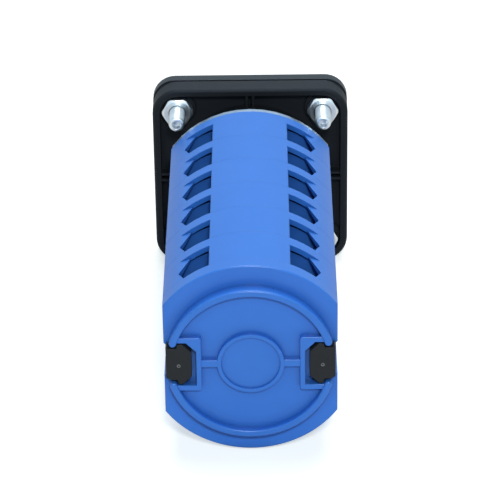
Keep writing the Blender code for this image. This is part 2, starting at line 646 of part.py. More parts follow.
# Fixed contacts and terminal screws: angles set in the walls, screw heads behind the side holes
leg_outer = SIDE_INNER + STRIP_BITE
leg_inner = leg_outer - STRIP_THICK
strip_bottom = STRIP_TOP - STRIP_THICK
strip = [(STRIP_INNER, strip_bottom), (leg_inner, strip_bottom), (leg_inner, STRIP_FOOT),
         (leg_outer, STRIP_FOOT), (leg_outer, STRIP_TOP), (STRIP_INNER, STRIP_TOP)]
for index, (sx, sz) in enumerate(CORNERS):
    stage_steps.append(("UNION", f"stage_strip_{index}", prism_mesh(
        [flip(strip, sx, sz)], CONTACT_Y - STRIP_DEPTH / 2, CONTACT_Y + STRIP_DEPTH / 2)))
    start, end = sorted((sx * (leg_outer - STRIP_BITE), sx * (leg_outer + TERMINAL_HEAD_HEIGHT)))
    stage_steps.append(("UNION", f"stage_screw_{index}", round_mesh(
        TERMINAL_HEAD_RADIUS, start, end, 6, "X", (0, CONTACT_Y, sz * TERMINAL_HEIGHT))))
stage_mesh = shaped(prism_mesh([stack_outline(count=8)], 0.0, STAGE_DEPTH), stage_steps)
for index, start in enumerate(STAGE_STARTS):
    add(f"chamber_{index + 1}", stage_mesh, BLUE, (0, start, 0))

# Contact springs between the bridges and the roofs of the stages
contact_coil = coil_mesh(SPRING_COIL, SPRING_WIRE, SPRING_LENGTH, SPRING_TURNS)
for label, sz in (("upper", 1), ("lower", -1)):
    for index, start in enumerate(STAGE_STARTS):
        spring = add(f"contact_spring_{label}_{index + 1}", contact_coil, SPRING,
                     (0, start + CONTACT_Y, sz * SPRING_FOOT))
        spring.rotation_euler.y = 0.0 if sz > 0 else math.pi

# Rear cover: flange of the stack's section, raised ring, centre ring, cross ribs and strap pockets
rear = COVER_REAR
ring_inner = COVER_RING_OUTER - COVER_RING_WIDTH
arm_inner = STRAP_HEAD_HALF + SEAT
arm_outer = arm_inner + POCKET_ARM
wall_outer = POCKET_WALL_INNER + POCKET_WALL
arm_reach = ring_inner * math.cos(math.asin(arm_outer / ring_inner)) + COVER_RING_WIDTH / 2
pocket_wall = [(POCKET_WALL_INNER, -arm_outer), (arm_reach, -arm_outer), (arm_reach, -arm_inner),
               (wall_outer, -arm_inner), (wall_outer, arm_inner - POCKET_CHAMFER),
               (wall_outer + POCKET_CHAMFER, arm_inner), (arm_reach, arm_inner),
               (arm_reach, arm_outer), (POCKET_WALL_INNER, arm_outer)]
head_room = [(wall_outer, -arm_inner), (SIDE + SEAT, -arm_inner), (SIDE + SEAT, arm_inner),
             (wall_outer + POCKET_CHAMFER, arm_inner), (wall_outer, arm_inner - POCKET_CHAMFER)]
cross_rib = rectangle(CENTRE_RING_OUTER - CENTRE_RING_WIDTH / 2, -CROSS_RIB_WIDTH / 2,
                      POCKET_WALL_INNER + POCKET_WALL / 2, CROSS_RIB_WIDTH / 2)
cover_steps = [
    ("UNION", "cover_plateau", prism_mesh(
        [circle(ring_inner + COVER_RING_WIDTH / 2, 40)], rear - ROOT, rear + COVER_PLATEAU)),
    ("UNION", "cover_ring", prism_mesh(
        [circle(COVER_RING_OUTER, 40), circle(ring_inner, 40)], rear - 2 * ROOT, rear + COVER_RING_HEIGHT)),
    ("UNION", "cover_centre_disc", round_mesh(
        CENTRE_RING_OUTER - CENTRE_RING_WIDTH / 2, rear - 2 * ROOT, rear + CENTRE_DISC_HEIGHT, 24)),
    ("UNION", "cover_centre_ring", prism_mesh(
        [circle(CENTRE_RING_OUTER, 28), circle(CENTRE_RING_OUTER - CENTRE_RING_WIDTH, 28)],
        rear - ROOT / 2, rear + COVER_RIB_HEIGHT)),
]
for index, sx in enumerate((1, -1)):
    cover_steps.append(("UNION", f"cover_pocket_wall_{index}", prism_mesh(
        [flip(pocket_wall, sx, 1)], rear - ROOT / 3, rear + COVER_WALL_HEIGHT)))
    cover_steps.append(("UNION", f"cover_cross_rib_{index}", prism_mesh(
        [flip(cross_rib, sx, 1)], rear - ROOT / 4, rear + COVER_CROSS_HEIGHT)))
    cover_steps.append(("DIFFERENCE", f"cover_head_room_{index}", prism_mesh(
        [flip(head_room, sx, 1)], rear - ROOT / 5, rear + 2 * COVER_RING_HEIGHT)))
    strap_room = rectangle(CHANNEL_FLOOR - CHANNEL_DRAFT, -pocket_half, BODY_WIDTH, pocket_half)
    cover_steps.append(("DIFFERENCE", f"cover_channel_{index}", prism_mesh(
        [flip(strap_room, sx, 1)], COVER_START - SEAT, rear + COVER_RING_HEIGHT / 2)))
add("rear_cover", shaped(prism_mesh([stack_outline(count=16)], COVER_START, rear), cover_steps), BLUE)

# Tie straps: lie in the channels of the flats, hooked in the housing, with heads on the cover
hook_rear = STRAP_FRONT_Y + HOOK_LENGTH
strap_rear = HEAD_START + STRAP_HEAD_THICK / 2
strap_profile = [(STRAP_INNER, hook_rear), (STRAP_INNER - HOOK_REACH, hook_rear),
                 (STRAP_INNER - HOOK_REACH, STRAP_FRONT_Y), (STRAP_OUTER, STRAP_FRONT_Y),
                 (STRAP_OUTER, strap_rear), (STRAP_INNER, strap_rear)]
inner_x = STRAP_HEAD_INNER
half = STRAP_HEAD_HALF
cut = STRAP_HEAD_CHAMFER
head_outline = [(inner_x + cut, -half), (STRAP_OUTER - cut, -half), (STRAP_OUTER, -half + cut / 2),
                (STRAP_OUTER, half - cut / 2), (STRAP_OUTER - cut, half), (inner_x + cut, half),
                (inner_x, half - cut), (inner_x, -half + cut)]
for label, sx in (("right", 1), ("left", -1)):
    strap = prism_mesh([flip(strap_profile, sx, 1)], -STRAP_HALF, STRAP_HALF, "XY")
    head = prism_mesh([flip(head_outline, sx, 1)], HEAD_START, HEAD_END)
    add(f"tie_strap_{label}", shaped(strap, [("UNION", f"strap_head_{label}", head)]), CHARCOAL)

# The rotor turns about the shaft's axis
rotor = axis_empty("rotor_axis", (0, 0, 0))

# Shaft: square bar with chamfered edges and a hole for the knob's screw
half_shaft = SHAFT_SIDE / 2
short = half_shaft - SHAFT_CHAMFER
shaft_outline = []
for sx, sz in ((1, 1), (-1, 1), (-1, -1), (1, -1)):
    corner = [(sx * half_shaft, sz * short), (sx * short, sz * half_shaft)]
    shaft_outline += corner if sx * sz > 0 else corner[::-1]
screw_room = KNOB_SCREW_LENGTH + SEAT
add("shaft", shaped(prism_mesh([shaft_outline], SHAFT_FRONT, SHAFT_END), [
    ("DIFFERENCE", "shaft_hole", round_mesh(
        KNOB_SCREW_RADIUS + SEAT, SHAFT_FRONT - screw_room, SHAFT_FRONT + screw_room, 12))]),
    STEEL, parent=rotor)

# Detent star with its hub
star_points = []
for i in range(STAR_LOBES * 6):
    angle = 2 * math.pi * i / (STAR_LOBES * 6)
    reach = (STAR_TIP + STAR_NOTCH) / 2 - (STAR_TIP - STAR_NOTCH) / 2 * math.cos(STAR_LOBES * angle)
    star_points.append((reach * math.cos(angle), reach * math.sin(angle)))
sleeve = rectangle(-SLEEVE, -SLEEVE, SLEEVE, SLEEVE)
hub_start = HOUSING_START + SEAT
add("detent_star", shaped(prism_mesh([star_points], roller_start, roller_end), [
    ("UNION", "star_hub", round_mesh(HUB_RADIUS, hub_start, roller_end - SEAT, 24)),
    ("DIFFERENCE", "star_sleeve", prism_mesh([sleeve], 0.0, DISC_START))]),
    BLACK, parent=rotor)


# Cams: two mirrored spirals of constant rise, with hubs that run in the webs
def cam_reach(angle):
    """The cam's radius at an angle from +X, the same above and below the X axis."""
    turned = math.pi / 2 - abs((angle + math.pi) % (2 * math.pi) - math.pi)
    share = max(-CAM_SPREAD, min(CAM_SPREAD, -turned / SWITCH_ANGLE))
    return CAM_RADIUS + CAM_LIFT * share


cam_points = []
for i in range(24):
    angle = 2 * math.pi * i / 24
    cam_points.append((cam_reach(angle) * math.cos(angle), cam_reach(angle) * math.sin(angle)))
cam_mesh = shaped(prism_mesh([cam_points], CAM_FACE_START, CAM_FACE_END), [
    ("UNION", "cam_hub", round_mesh(HUB_RADIUS, 0.0, STAGE_DEPTH, 12)),
    ("DIFFERENCE", "cam_sleeve", prism_mesh([sleeve], -WEB, STAGE_DEPTH + WEB))])
for index, start in enumerate(STAGE_STARTS):
    add(f"cam_{index + 1}", cam_mesh, CAM_PLASTIC, (0, start, 0), rotor)

# Plungers: each slides up and down on its cam and carries a contact bridge across its top
tip = BRIDGE_BOTTOM - BRIDGE_TIP
plunger_outline = [(-PLUNGER_HALF, CAM_RADIUS + SEAT), (PLUNGER_HALF, CAM_RADIUS + SEAT),
                   (PLUNGER_HALF, BRIDGE_BOTTOM), (STRIP_INNER - BRIDGE_TIP, BRIDGE_BOTTOM),
                   (STRIP_INNER, tip), (BRIDGE_HALF, tip), (BRIDGE_HALF, BRIDGE_TOP),
                   (-BRIDGE_HALF, BRIDGE_TOP), (-BRIDGE_HALF, tip), (-STRIP_INNER, tip),
                   (-STRIP_INNER + BRIDGE_TIP, BRIDGE_BOTTOM), (-PLUNGER_HALF, BRIDGE_BOTTOM)]
for label, sz in (("upper", 1), ("lower", -1)):
    plunger_mesh = prism_mesh([flip(plunger_outline, 1, sz)], -BRIDGE_DEPTH / 2, BRIDGE_DEPTH / 2)
    for index, start in enumerate(STAGE_STARTS):
        add(f"plunger_{label}_{index + 1}", plunger_mesh, GUIDE_PLASTIC, (0, start + CONTACT_Y, 0))

# Knob: round skirt with a bar grip, square socket for the shaft and a recess for the screw
skirt_profile = [(0.0, KNOB_SKIRT), (KNOB_RADIUS - KNOB_SKIRT / 2, KNOB_SKIRT),
                 (KNOB_RADIUS - KNOB_SKIRT / 8, KNOB_SKIRT / 2), (KNOB_RADIUS, 0.0), (0.0, 0.0)]
skirt = turned_mesh(skirt_profile, 32)
skirt.transform(Matrix.Translation((0, KNOB_REAR, 0)) @ Matrix.Rotation(math.pi / 2, 4, "X"))
grip_outline = rounded_oblong(GRIP_HALF_WIDTH, GRIP_HALF_LENGTH, GRIP_NOSE, 3)
grip = prism_mesh([grip_outline], KNOB_FRONT, KNOB_REAR - KNOB_SKIRT / 2)
for vert in grip.vertices:
    if vert.co.y < (KNOB_FRONT + KNOB_REAR) / 2:
        vert.co.x *= GRIP_TAPER
        vert.co.z *= GRIP_TAPER
add("knob", shaped(skirt, [
    ("UNION", "knob_grip", grip),
    ("DIFFERENCE", "knob_socket", prism_mesh([sleeve], KNOB_FLOOR, KNOB_REAR + SEAT)),
    ("DIFFERENCE", "knob_bore", round_mesh(KNOB_BORE, KNOB_FRONT - SEAT, BORE_FLOOR, 20)),
    ("DIFFERENCE", "knob_hole", round_mesh(
        KNOB_SCREW_RADIUS + SEAT, KNOB_FRONT, KNOB_FLOOR + SEAT, 12))]), BLACK, parent=rotor)

# Knob screw: into the end of the shaft
screw_seat = BORE_FLOOR - SEAT
screw_point = SHAFT_FRONT + KNOB_SCREW_LENGTH
screw_top = screw_seat - KNOB_SCREW_HEAD_HEIGHT
knob_screw_profile = [(0.0, screw_point), (KNOB_SCREW_RADIUS, screw_point),
                      (KNOB_SCREW_RADIUS, screw_seat), (KNOB_SCREW_HEAD, screw_seat),
                      (KNOB_SCREW_HEAD, screw_top), (0.0, screw_top)]
knob_screw = turned_mesh(knob_screw_profile, 12)
knob_screw.transform(Matrix.Rotation(-math.pi / 2, 4, "X"))
add("knob_screw", knob_screw, ZINC, parent=rotor)

for piece in parts.objects:
    if piece.type == "MESH":
        piece.data.shade_smooth()
        piece.data.set_sharp_from_angle(angle=math.radians(35))
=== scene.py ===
"""Rotary cam switch with six contact stages: the finish of its pieces, the light and the camera.

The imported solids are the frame, and every piece here takes its place from them. The knob is
towards -Y, the rear cover towards +Y, and +Z is up. All sizes are in metres.
"""

import math

import bmesh
import bpy
from mathutils import Matrix, Vector


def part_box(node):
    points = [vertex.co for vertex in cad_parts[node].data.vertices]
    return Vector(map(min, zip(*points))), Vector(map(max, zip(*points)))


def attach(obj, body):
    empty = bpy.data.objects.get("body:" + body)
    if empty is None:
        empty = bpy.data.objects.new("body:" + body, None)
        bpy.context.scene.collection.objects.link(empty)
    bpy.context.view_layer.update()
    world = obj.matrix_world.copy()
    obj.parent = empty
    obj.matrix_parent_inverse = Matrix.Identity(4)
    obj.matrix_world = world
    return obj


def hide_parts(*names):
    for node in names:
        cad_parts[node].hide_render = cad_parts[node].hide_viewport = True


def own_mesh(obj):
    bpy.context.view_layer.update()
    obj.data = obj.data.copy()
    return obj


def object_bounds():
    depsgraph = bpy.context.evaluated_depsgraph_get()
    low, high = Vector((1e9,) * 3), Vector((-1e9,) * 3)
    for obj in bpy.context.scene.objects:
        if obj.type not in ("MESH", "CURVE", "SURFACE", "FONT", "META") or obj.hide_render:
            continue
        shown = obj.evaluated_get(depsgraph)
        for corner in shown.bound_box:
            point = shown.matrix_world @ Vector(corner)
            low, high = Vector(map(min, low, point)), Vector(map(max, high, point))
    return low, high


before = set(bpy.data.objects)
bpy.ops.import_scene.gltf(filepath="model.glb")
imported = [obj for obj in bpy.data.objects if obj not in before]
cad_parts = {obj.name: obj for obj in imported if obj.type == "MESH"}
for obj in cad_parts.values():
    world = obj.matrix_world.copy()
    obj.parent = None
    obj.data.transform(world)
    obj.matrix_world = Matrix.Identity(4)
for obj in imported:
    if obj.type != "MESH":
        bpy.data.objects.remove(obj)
cad_low, cad_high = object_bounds()

# Camera: a long lens behind and above the switch, looking down along the stack
# at the rear cover, a little off the middle plane and very slightly tilted.
CAMERA_PLACE = Vector((-0.0042, 0.6084, 0.3085))
CAMERA_DOWN = 0.4999
CAMERA_ASIDE = -0.0078
CAMERA_TILT = -0.0145
FRAME_PIXELS = 500
FOCAL_PIXELS = 2700
camera = bpy.data.objects.new("camera", bpy.data.cameras.new("camera"))
bpy.context.scene.collection.objects.link(camera)
camera.data.sensor_width = 36.0
camera.data.lens = FOCAL_PIXELS / FRAME_PIXELS * camera.data.sensor_width
ahead = Vector((-math.sin(CAMERA_ASIDE) * math.cos(CAMERA_DOWN),
                -math.cos(CAMERA_ASIDE) * math.cos(CAMERA_DOWN), -math.sin(CAMERA_DOWN)))
level = ahead.cross(Vector((0, 0, 1))).normalized()
upward = level.cross(ahead)
right = level * math.cos(CAMERA_TILT) + upward * math.sin(CAMERA_TILT)
above = upward * math.cos(CAMERA_TILT) - level * math.sin(CAMERA_TILT)
turn = Matrix((right, above, -ahead)).transposed()
camera.matrix_world = Matrix.Translation(CAMERA_PLACE) @ turn.to_4x4()
camera.data.clip_start = 0.01
bpy.context.scene.camera = camera
bpy.context.scene.view_settings.view_transform = "Standard"

# Table: a plain white sheet that the switch lies on. The camera sees it white, reflections see it
# a little brighter than it is lit, and it keeps the switch's soft shadow.
TABLE_SIZE = 6.0
TABLE_GAP = 0.0001
TABLE_WHITE = 0.72
TABLE_GLOW = 0.66
TABLE_SHEEN = 0.10
GLOW_COLOUR = (0.92, 0.99, 1.0)
table_shape = bmesh.new()
bmesh.ops.create_grid(table_shape, x_segments=1, y_segments=1, size=TABLE_SIZE / 2)
bmesh.ops.translate(table_shape, verts=table_shape.verts, vec=(0, 0, cad_low.z - TABLE_GAP))
table_mesh = bpy.data.meshes.new("table")
table_shape.to_mesh(table_mesh)
table_shape.free()
table = bpy.data.objects.new("table", table_mesh)
bpy.context.scene.collection.objects.link(table)
paper = bpy.data.materials.new("white paper")
paper.use_nodes = True
nodes = paper.node_tree.nodes
links = paper.node_tree.links
shader = nodes["Principled BSDF"]
shader.inputs["Base Color"].default_value = (TABLE_WHITE, TABLE_WHITE, TABLE_WHITE, 1.0)
shader.inputs["Roughness"].default_value = 0.9
shader.inputs["Specular IOR Level"].default_value = 0.0
glow = nodes.new("ShaderNodeEmission")
glow.inputs["Color"].default_value = (*GLOW_COLOUR, 1.0)
path = nodes.new("ShaderNodeLightPath")
seen = nodes.new("ShaderNodeMath")
seen.operation = "MULTIPLY"
seen.inputs[1].default_value = TABLE_GLOW
lit = nodes.new("ShaderNodeMath")
lit.operation = "MULTIPLY_ADD"
lit.inputs[1].default_value = TABLE_SHEEN
both = nodes.new("ShaderNodeAddShader")
links.new(path.outputs["Is Camera Ray"], seen.inputs[0])
links.new(path.outputs["Is Glossy Ray"], lit.inputs[0])
links.new(seen.outputs[0], lit.inputs[2])
links.new(lit.outputs[0], glow.inputs["Strength"])
links.new(shader.outputs["BSDF"], both.inputs[0])
links.new(glow.outputs[0], both.inputs[1])
links.new(both.outputs[0], nodes["Material Output"].inputs["Surface"])
table_mesh.materials.append(paper)

# Light: a faint cold surround that is bright to reflections and plain white to the camera, one
# large soft lamp overhead towards the knob, and a small one above and behind the camera.
SURROUND = 0.08
MIRRORED = 0.90
COLD_WHITE = (0.76, 0.90, 1.0)
world = bpy.data.worlds.new("surround")
bpy.context.scene.world = world
world.use_nodes = True
nodes = world.node_tree.nodes
links = world.node_tree.links
path = nodes.new("ShaderNodeLightPath")
seen = nodes.new("ShaderNodeMath")
seen.operation = "MAXIMUM"
mirrored_ray = nodes.new("ShaderNodeMath")
mirrored_ray.operation = "MULTIPLY_ADD"
mirrored_ray.inputs[1].default_value = MIRRORED - SURROUND
mirrored_ray.inputs[2].default_value = SURROUND
strength = nodes.new("ShaderNodeMath")
strength.operation = "MAXIMUM"
links.new(path.outputs["Is Camera Ray"], seen.inputs[0])
links.new(path.outputs["Is Transmission Ray"], seen.inputs[1])
links.new(path.outputs["Is Glossy Ray"], mirrored_ray.inputs[0])
links.new(seen.outputs[0], strength.inputs[0])
links.new(mirrored_ray.outputs[0], strength.inputs[1])
links.new(strength.outputs[0], nodes["Background"].inputs["Strength"])
cold = nodes.new("ShaderNodeMix")
cold.data_type = "RGBA"
cold.inputs["A"].default_value = (*COLD_WHITE, 1.0)
cold.inputs["B"].default_value = (1.0, 1.0, 1.0, 1.0)
links.new(seen.outputs[0], cold.inputs["Factor"])
links.new(cold.outputs["Result"], nodes["Background"].inputs["Color"])


def soft_lamp(name, place, aim, size, power):
    """Square area lamp turned towards a point."""
    lamp = bpy.data.lights.new(name, "AREA")
    lamp.size = size
    lamp.energy = power
    holder = bpy.data.objects.new(name, lamp)
    holder.location = place
    holder.rotation_euler = (Vector(aim) - Vector(place)).to_track_quat("-Z", "Y").to_euler()
    bpy.context.scene.collection.objects.link(holder)


soft_lamp("overhead", place=(-0.05, -0.25, 0.97), aim=(0, 0.04, 0), size=0.70, power=7.1)
soft_lamp("behind_camera", place=(-0.06, 0.86, 0.65), aim=(0, 0.06, 0), size=0.12, power=5.1)


# Mounting plate: glass-filled black nylon, moulded as a shallow tray with a boss round each
# screw and a pair of ribs at the middle of each side. It clamps the panel from behind.
def surface_group(name, numbers, results):
    """Node group with numbers going in and coming out, and nothing between them yet."""
    group = bpy.data.node_groups.new(name, "ShaderNodeTree")
    for label, value in numbers:
        socket = group.interface.new_socket(label, in_out="INPUT", socket_type="NodeSocketFloat")
        socket.default_value = value
    for label in results:
        group.interface.new_socket(label, in_out="OUTPUT", socket_type="NodeSocketFloat")
    return group


def strayed(inner, wire, entry, noise):
    """Roughness that strays about its middle value with a noise."""
    shift = inner.new("ShaderNodeMath")
    shift.operation = "SUBTRACT"
    shift.inputs[1].default_value = 0.5
    spread = inner.new("ShaderNodeMath")
    spread.operation = "MULTIPLY"
    total = inner.new("ShaderNodeMath")
    wire.new(noise.outputs["Fac"], shift.inputs[0])
    wire.new(shift.outputs[0], spread.inputs[0])
    wire.new(entry.outputs["Spread"], spread.inputs[1])
    wire.new(spread.outputs[0], total.inputs[0])
    wire.new(entry.outputs["Roughness"], total.inputs[1])
    return total.outputs[0]


def moulded_surface():
    """Node group for moulded plastic: fine grain, slow flow marks and uneven gloss."""
    group = surface_group(
        "moulded surface",
        (("Grain Scale", 5200.0), ("Flow Scale", 90.0), ("Roughness", 0.4), ("Spread", 0.05)),
        ("Flow", "Roughness", "Height"))
    inner = group.nodes
    wire = group.links
    entry = inner.new("NodeGroupInput")
    leave = inner.new("NodeGroupOutput")
    place = inner.new("ShaderNodeTexCoord")
    grain = inner.new("ShaderNodeTexNoise")
    grain.inputs["Detail"].default_value = 3.0
    flow = inner.new("ShaderNodeTexNoise")
    flow.inputs["Detail"].default_value = 4.0
    flow.inputs["Distortion"].default_value = 0.6
    sheen = inner.new("ShaderNodeTexNoise")
    sheen.inputs["Scale"].default_value = 420.0
    sheen.inputs["Detail"].default_value = 5.0
    for texture in (grain, flow, sheen):
        wire.new(place.outputs["Object"], texture.inputs["Vector"])
    wire.new(entry.outputs["Grain Scale"], grain.inputs["Scale"])
    wire.new(entry.outputs["Flow Scale"], flow.inputs["Scale"])
    wire.new(flow.outputs["Fac"], leave.inputs["Flow"])
    wire.new(strayed(inner, wire, entry, sheen), leave.inputs["Roughness"])
    wire.new(grain.outputs["Fac"], leave.inputs["Height"])
    return group


MOULDED = moulded_surface()
MERGE = 0.000002


def painted_nook_shade(nodes, links, colour, amount, size):
    """Painted shade: the colour darkened by an ambient occlusion mask where the surface lies in a
    nook, such as a corner, a hole or a slot.
    """
    openness = nodes.new("ShaderNodeAmbientOcclusion")
    openness.samples = 8
    openness.inputs["Distance"].default_value = size
    depth = nodes.new("ShaderNodeMapRange")
    depth.inputs["To Min"].default_value = 1.0 - amount
    deep = nodes.new("ShaderNodeMix")
    deep.data_type = "RGBA"
    deep.blend_type = "MULTIPLY"
    deep.inputs["Factor"].default_value = 1.0
    links.new(openness.outputs["AO"], depth.inputs["Value"])
    links.new(colour, deep.inputs["A"])
    links.new(depth.outputs["Result"], deep.inputs["B"])
    return deep.outputs["Result"]


def surfaced(name, group, driver, tones, roughness, spread, relief, edge, painted_shade):
    """Material on a surface group: a colour between two tones, darkened in nooks by painted shade,
    with a fine relief and softened edges. Gives the material, its shader and its surface node."""
    look = bpy.data.materials.new(name)
    look.use_nodes = True
    nodes = look.node_tree.nodes
    links = look.node_tree.links
    shader = nodes["Principled BSDF"]
    surface = nodes.new("ShaderNodeGroup")
    surface.node_tree = group
    surface.inputs["Roughness"].default_value = roughness
    surface.inputs["Spread"].default_value = spread
    tone = nodes.new("ShaderNodeMix")
    tone.data_type = "RGBA"
    tone.inputs["A"].default_value = (*tones[0], 1.0)
    tone.inputs["B"].default_value = (*tones[1], 1.0)
    rounding = nodes.new("ShaderNodeBevel")
    rounding.samples, rounding.inputs["Radius"].default_value = edge
    bump = nodes.new("ShaderNodeBump")
    bump.inputs["Strength"].default_value, bump.inputs["Distance"].default_value = relief
    links.new(surface.outputs[driver], tone.inputs["Factor"])
    colour = tone.outputs["Result"]
    # painted shade in nooks, where the material asks for it
    if painted_shade[0]:
        colour = painted_nook_shade(nodes, links, colour, *painted_shade)
    links.new(colour, shader.inputs["Base Color"])
    links.new(surface.outputs["Roughness"], shader.inputs["Roughness"])
    links.new(surface.outputs["Height"], bump.inputs["Height"])
    links.new(rounding.outputs["Normal"], bump.inputs["Normal"])
    links.new(bump.outputs["Normal"], shader.inputs["Normal"])
    return look, shader, surface


def moulded_plastic(name, dull, bright, roughness, grain, soft_edge=0.00018, gloss=0.5,
                    tint=(1.0, 1.0, 1.0), painted_shade=0.0, painted_shade_reach=0.0060):
    """Plastic whose colour drifts between two tones, with grain, uneven gloss and, if asked,
    painted shade in nooks.
    """
    look, shader, _ = surfaced(name, MOULDED, "Flow", (dull, bright), roughness, 0.10,
                               (grain, 0.00002), (6, soft_edge), (painted_shade, painted_shade_reach))
    shader.inputs["Specular IOR Level"].default_value = gloss
    shader.inputs["Specular Tint"].default_value = (*tint, 1.0)
    return look


def merged_copy(node):
    """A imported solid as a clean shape: corners merged and flat faces joined."""
    shape = bmesh.new()
    shape.from_mesh(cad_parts[node].data)
    bmesh.ops.remove_doubles(shape, verts=shape.verts, dist=0.000004)
    bmesh.ops.dissolve_degenerate(shape, dist=MERGE, edges=shape.edges)
    bmesh.ops.dissolve_limit(shape, angle_limit=math.radians(0.5), verts=shape.verts,
                             edges=shape.edges)
    return shape


def bevelled(shape, edges, width, segments):
    """Rounds some edges of a shape."""
    bmesh.ops.bevel(shape, geom=edges, offset=width, offset_type="OFFSET", segments=segments,
                    profile=0.5, affect="EDGES", clamp_overlap=False, material=-1)
    return shape


def round_edges(shape, width):
    """Rounds the sharp edges that are long enough to take the width."""
    sharp = [e for e in shape.edges if e.is_manifold and e.calc_face_angle(0) > math.radians(25)
             and e.calc_length() > 1.2 * width]
    return bevelled(shape, sharp, width, 2)


def make_piece(name, shape, look, body, slot, *nodes):
    """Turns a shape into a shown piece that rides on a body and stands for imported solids."""
    mesh = bpy.data.meshes.new(name)
    shape.to_mesh(mesh)
    shape.free()
    mesh.materials.append(look)
    mesh.shade_smooth()
    mesh.set_sharp_from_angle(angle=math.radians(32))
    piece = bpy.data.objects.new(name, mesh)
    bpy.context.scene.collection.objects.link(piece)
    even = piece.modifiers.new("even faces", "WEIGHTED_NORMAL")
    even.keep_sharp = True
    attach(piece, body)
    if nodes:
        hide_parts(*nodes)
    return piece


def extruded(points, low, high, plan=False):
    """Closed outline of (a, b) points made solid: a section along Y, or a plan up along Z."""
    shape = bmesh.new()
    face = shape.faces.new([shape.verts.new((a, b, low) if plan else (a, low, b))
                            for a, b in points])
    grown = bmesh.ops.extrude_face_region(shape, geom=[face])
    moved = [g for g in grown["geom"] if isinstance(g, bmesh.types.BMVert)]
    bmesh.ops.translate(shape, verts=moved, vec=(0, 0, high - low) if plan else (0, high - low, 0))
    bmesh.ops.recalc_face_normals(shape, faces=shape.faces)
    return shape


def arc(radius, start, end, count, middle=(0.0, 0.0)):
    """Points along a circle from one angle to another, both included."""
    angles = [start + (end - start) * i / count for i in range(count + 1)]
    return [(middle[0] + radius * math.cos(a), middle[1] + radius * math.sin(a)) for a in angles]


def rectangle(low, high):
    """Outline of a rectangle from its lowest corner to its highest."""
    return [low, (high[0], low[1]), high, (low[0], high[1])]


def rounded_box(half_x, half_z, radius, count=10):
    """Outline of a rectangle about the axis with rounded corners."""
    points = []
    for index, (sx, sz) in enumerate(((1, 1), (-1, 1), (-1, -1), (1, -1))):
        start = index * math.pi / 2
        middle = (sx * (half_x - radius), sz * (half_z - radius))
        points += arc(radius, start, start + math.pi / 2, count, middle)
    return points


def mirrored(points, sx, sz):
    """Outline turned over by signs of 1 or -1, still in the same sense."""
    moved = [(sx * x, sz * z) for x, z in points]
    return moved if sx * sz > 0 else moved[::-1]


def turned(profile, steps, axis="Y", middle=(0, 0, 0)):
    """Profile of (radius, along) points from one end of the axis to the other, spun to a solid."""
    shape = bmesh.new()
    row = [shape.verts.new((r, h, 0)) for r, h in profile]
    edges = [shape.edges.new(pair) for pair in zip(row, row[1:])]
    bmesh.ops.spin(shape, geom=row + edges, cent=(0, 0, 0), axis=(0, 1, 0), dvec=(0, 0, 0),
                   angle=2 * math.pi, steps=steps, use_merge=True, use_duplicate=False)
    bmesh.ops.remove_doubles(shape, verts=shape.verts, dist=MERGE)
    bmesh.ops.recalc_face_normals(shape, faces=shape.faces)
    if axis == "X":
        bmesh.ops.rotate(shape, verts=shape.verts, matrix=Matrix.Rotation(-math.pi / 2, 3, "Z"))
    bmesh.ops.translate(shape, verts=shape.verts, vec=middle)
    return shape


def rod(radius, start, end, steps, axis="Y", middle=(0, 0, 0)):
    """Plain cylinder, mostly to cut a round hole with."""
    return turned([(0, start), (radius, start), (radius, end), (0, end)], steps, axis, middle)


def round_rim(shape, level, width, segments=3):
    """Rounds the edges that lie in one plane across Y."""
    rim = [e for e in shape.edges if all(abs(v.co.y - level) < 1e-6 for v in e.verts)]
    return bevelled(shape, rim, width, segments)


def joined(*shapes):
    """Several shapes as one."""
    whole = bmesh.new()
    for shape in shapes:
        mesh = bpy.data.meshes.new("part")
        shape.to_mesh(mesh)
        whole.from_mesh(mesh)
        shape.free()
        bpy.data.meshes.remove(mesh)
    return whole


def combined(shape, other, operation="DIFFERENCE"):
    """The shape cut by, joined with or cut down to another one."""
    holders = []
    for name, source in (("shape", shape), ("other", other)):
        mesh = bpy.data.meshes.new(name)
        source.to_mesh(mesh)
        source.free()
        holder = bpy.data.objects.new(name, mesh)
        bpy.context.scene.collection.objects.link(holder)
        holders.append(holder)
    cut = holders[0].modifiers.new("cut", "BOOLEAN")
    cut.operation = operation
    cut.solver = "EXACT"
    cut.object = holders[1]
    bpy.context.view_layer.update()
    result = bmesh.new()
    result.from_mesh(holders[0].evaluated_get(bpy.context.evaluated_depsgraph_get()).to_mesh())
    for holder in holders:
        bpy.data.objects.remove(holder, do_unlink=True)
    bmesh.ops.remove_doubles(result, verts=result.verts, dist=MERGE)
    bmesh.ops.dissolve_degenerate(result, dist=MERGE, edges=result.edges)
    return result


PLATE_CORNER = 0.0066
PLATE_ROUND = 0.0008
PLATE_RIM = 0.0018
TRAY_DEPTH = 0.0030
BOSS_RADIUS = 0.0046
BOSS_HEIGHT = 0.0006
RIB_THICK = 0.0007
RIB_SPREAD = 0.0016
RIB_START = 0.0188
RIB_DROP = 0.00015
SCREW_HOLE = 0.0021
SHAFT_HOLE = 0.0057
SOFT = 0.0002
PAST = 0.0010
SIDES = ((1, 1), (1, -1), (-1, 1), (-1, -1))
COLD_SHEEN = (0.66, 0.82, 1.0)
black_nylon = moulded_plastic("black nylon", (0.0085, 0.0100, 0.0125), (0.0120, 0.0138, 0.0165),
                              0.58, 0.35, gloss=0.27, tint=COLD_SHEEN)
plate_low, plate_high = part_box("mounting_plate")
half = plate_high.x
tray_floor = plate_high.y - TRAY_DEPTH
nut_axes = []
for number in range(1, 5):
    middle = sum(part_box(f"plate_nut_{number}"), Vector()) / 2
    nut_axes.append((middle.x, 0, middle.z))
plate = extruded(rounded_box(half, half, PLATE_CORNER), plate_low.y, plate_high.y)
round_rim(plate, plate_high.y, PLATE_ROUND, 5)
round_rim(plate, plate_low.y, 2 * SOFT, 3)
tray = rounded_box(half - PLATE_RIM, half - PLATE_RIM, PLATE_CORNER - PLATE_RIM)
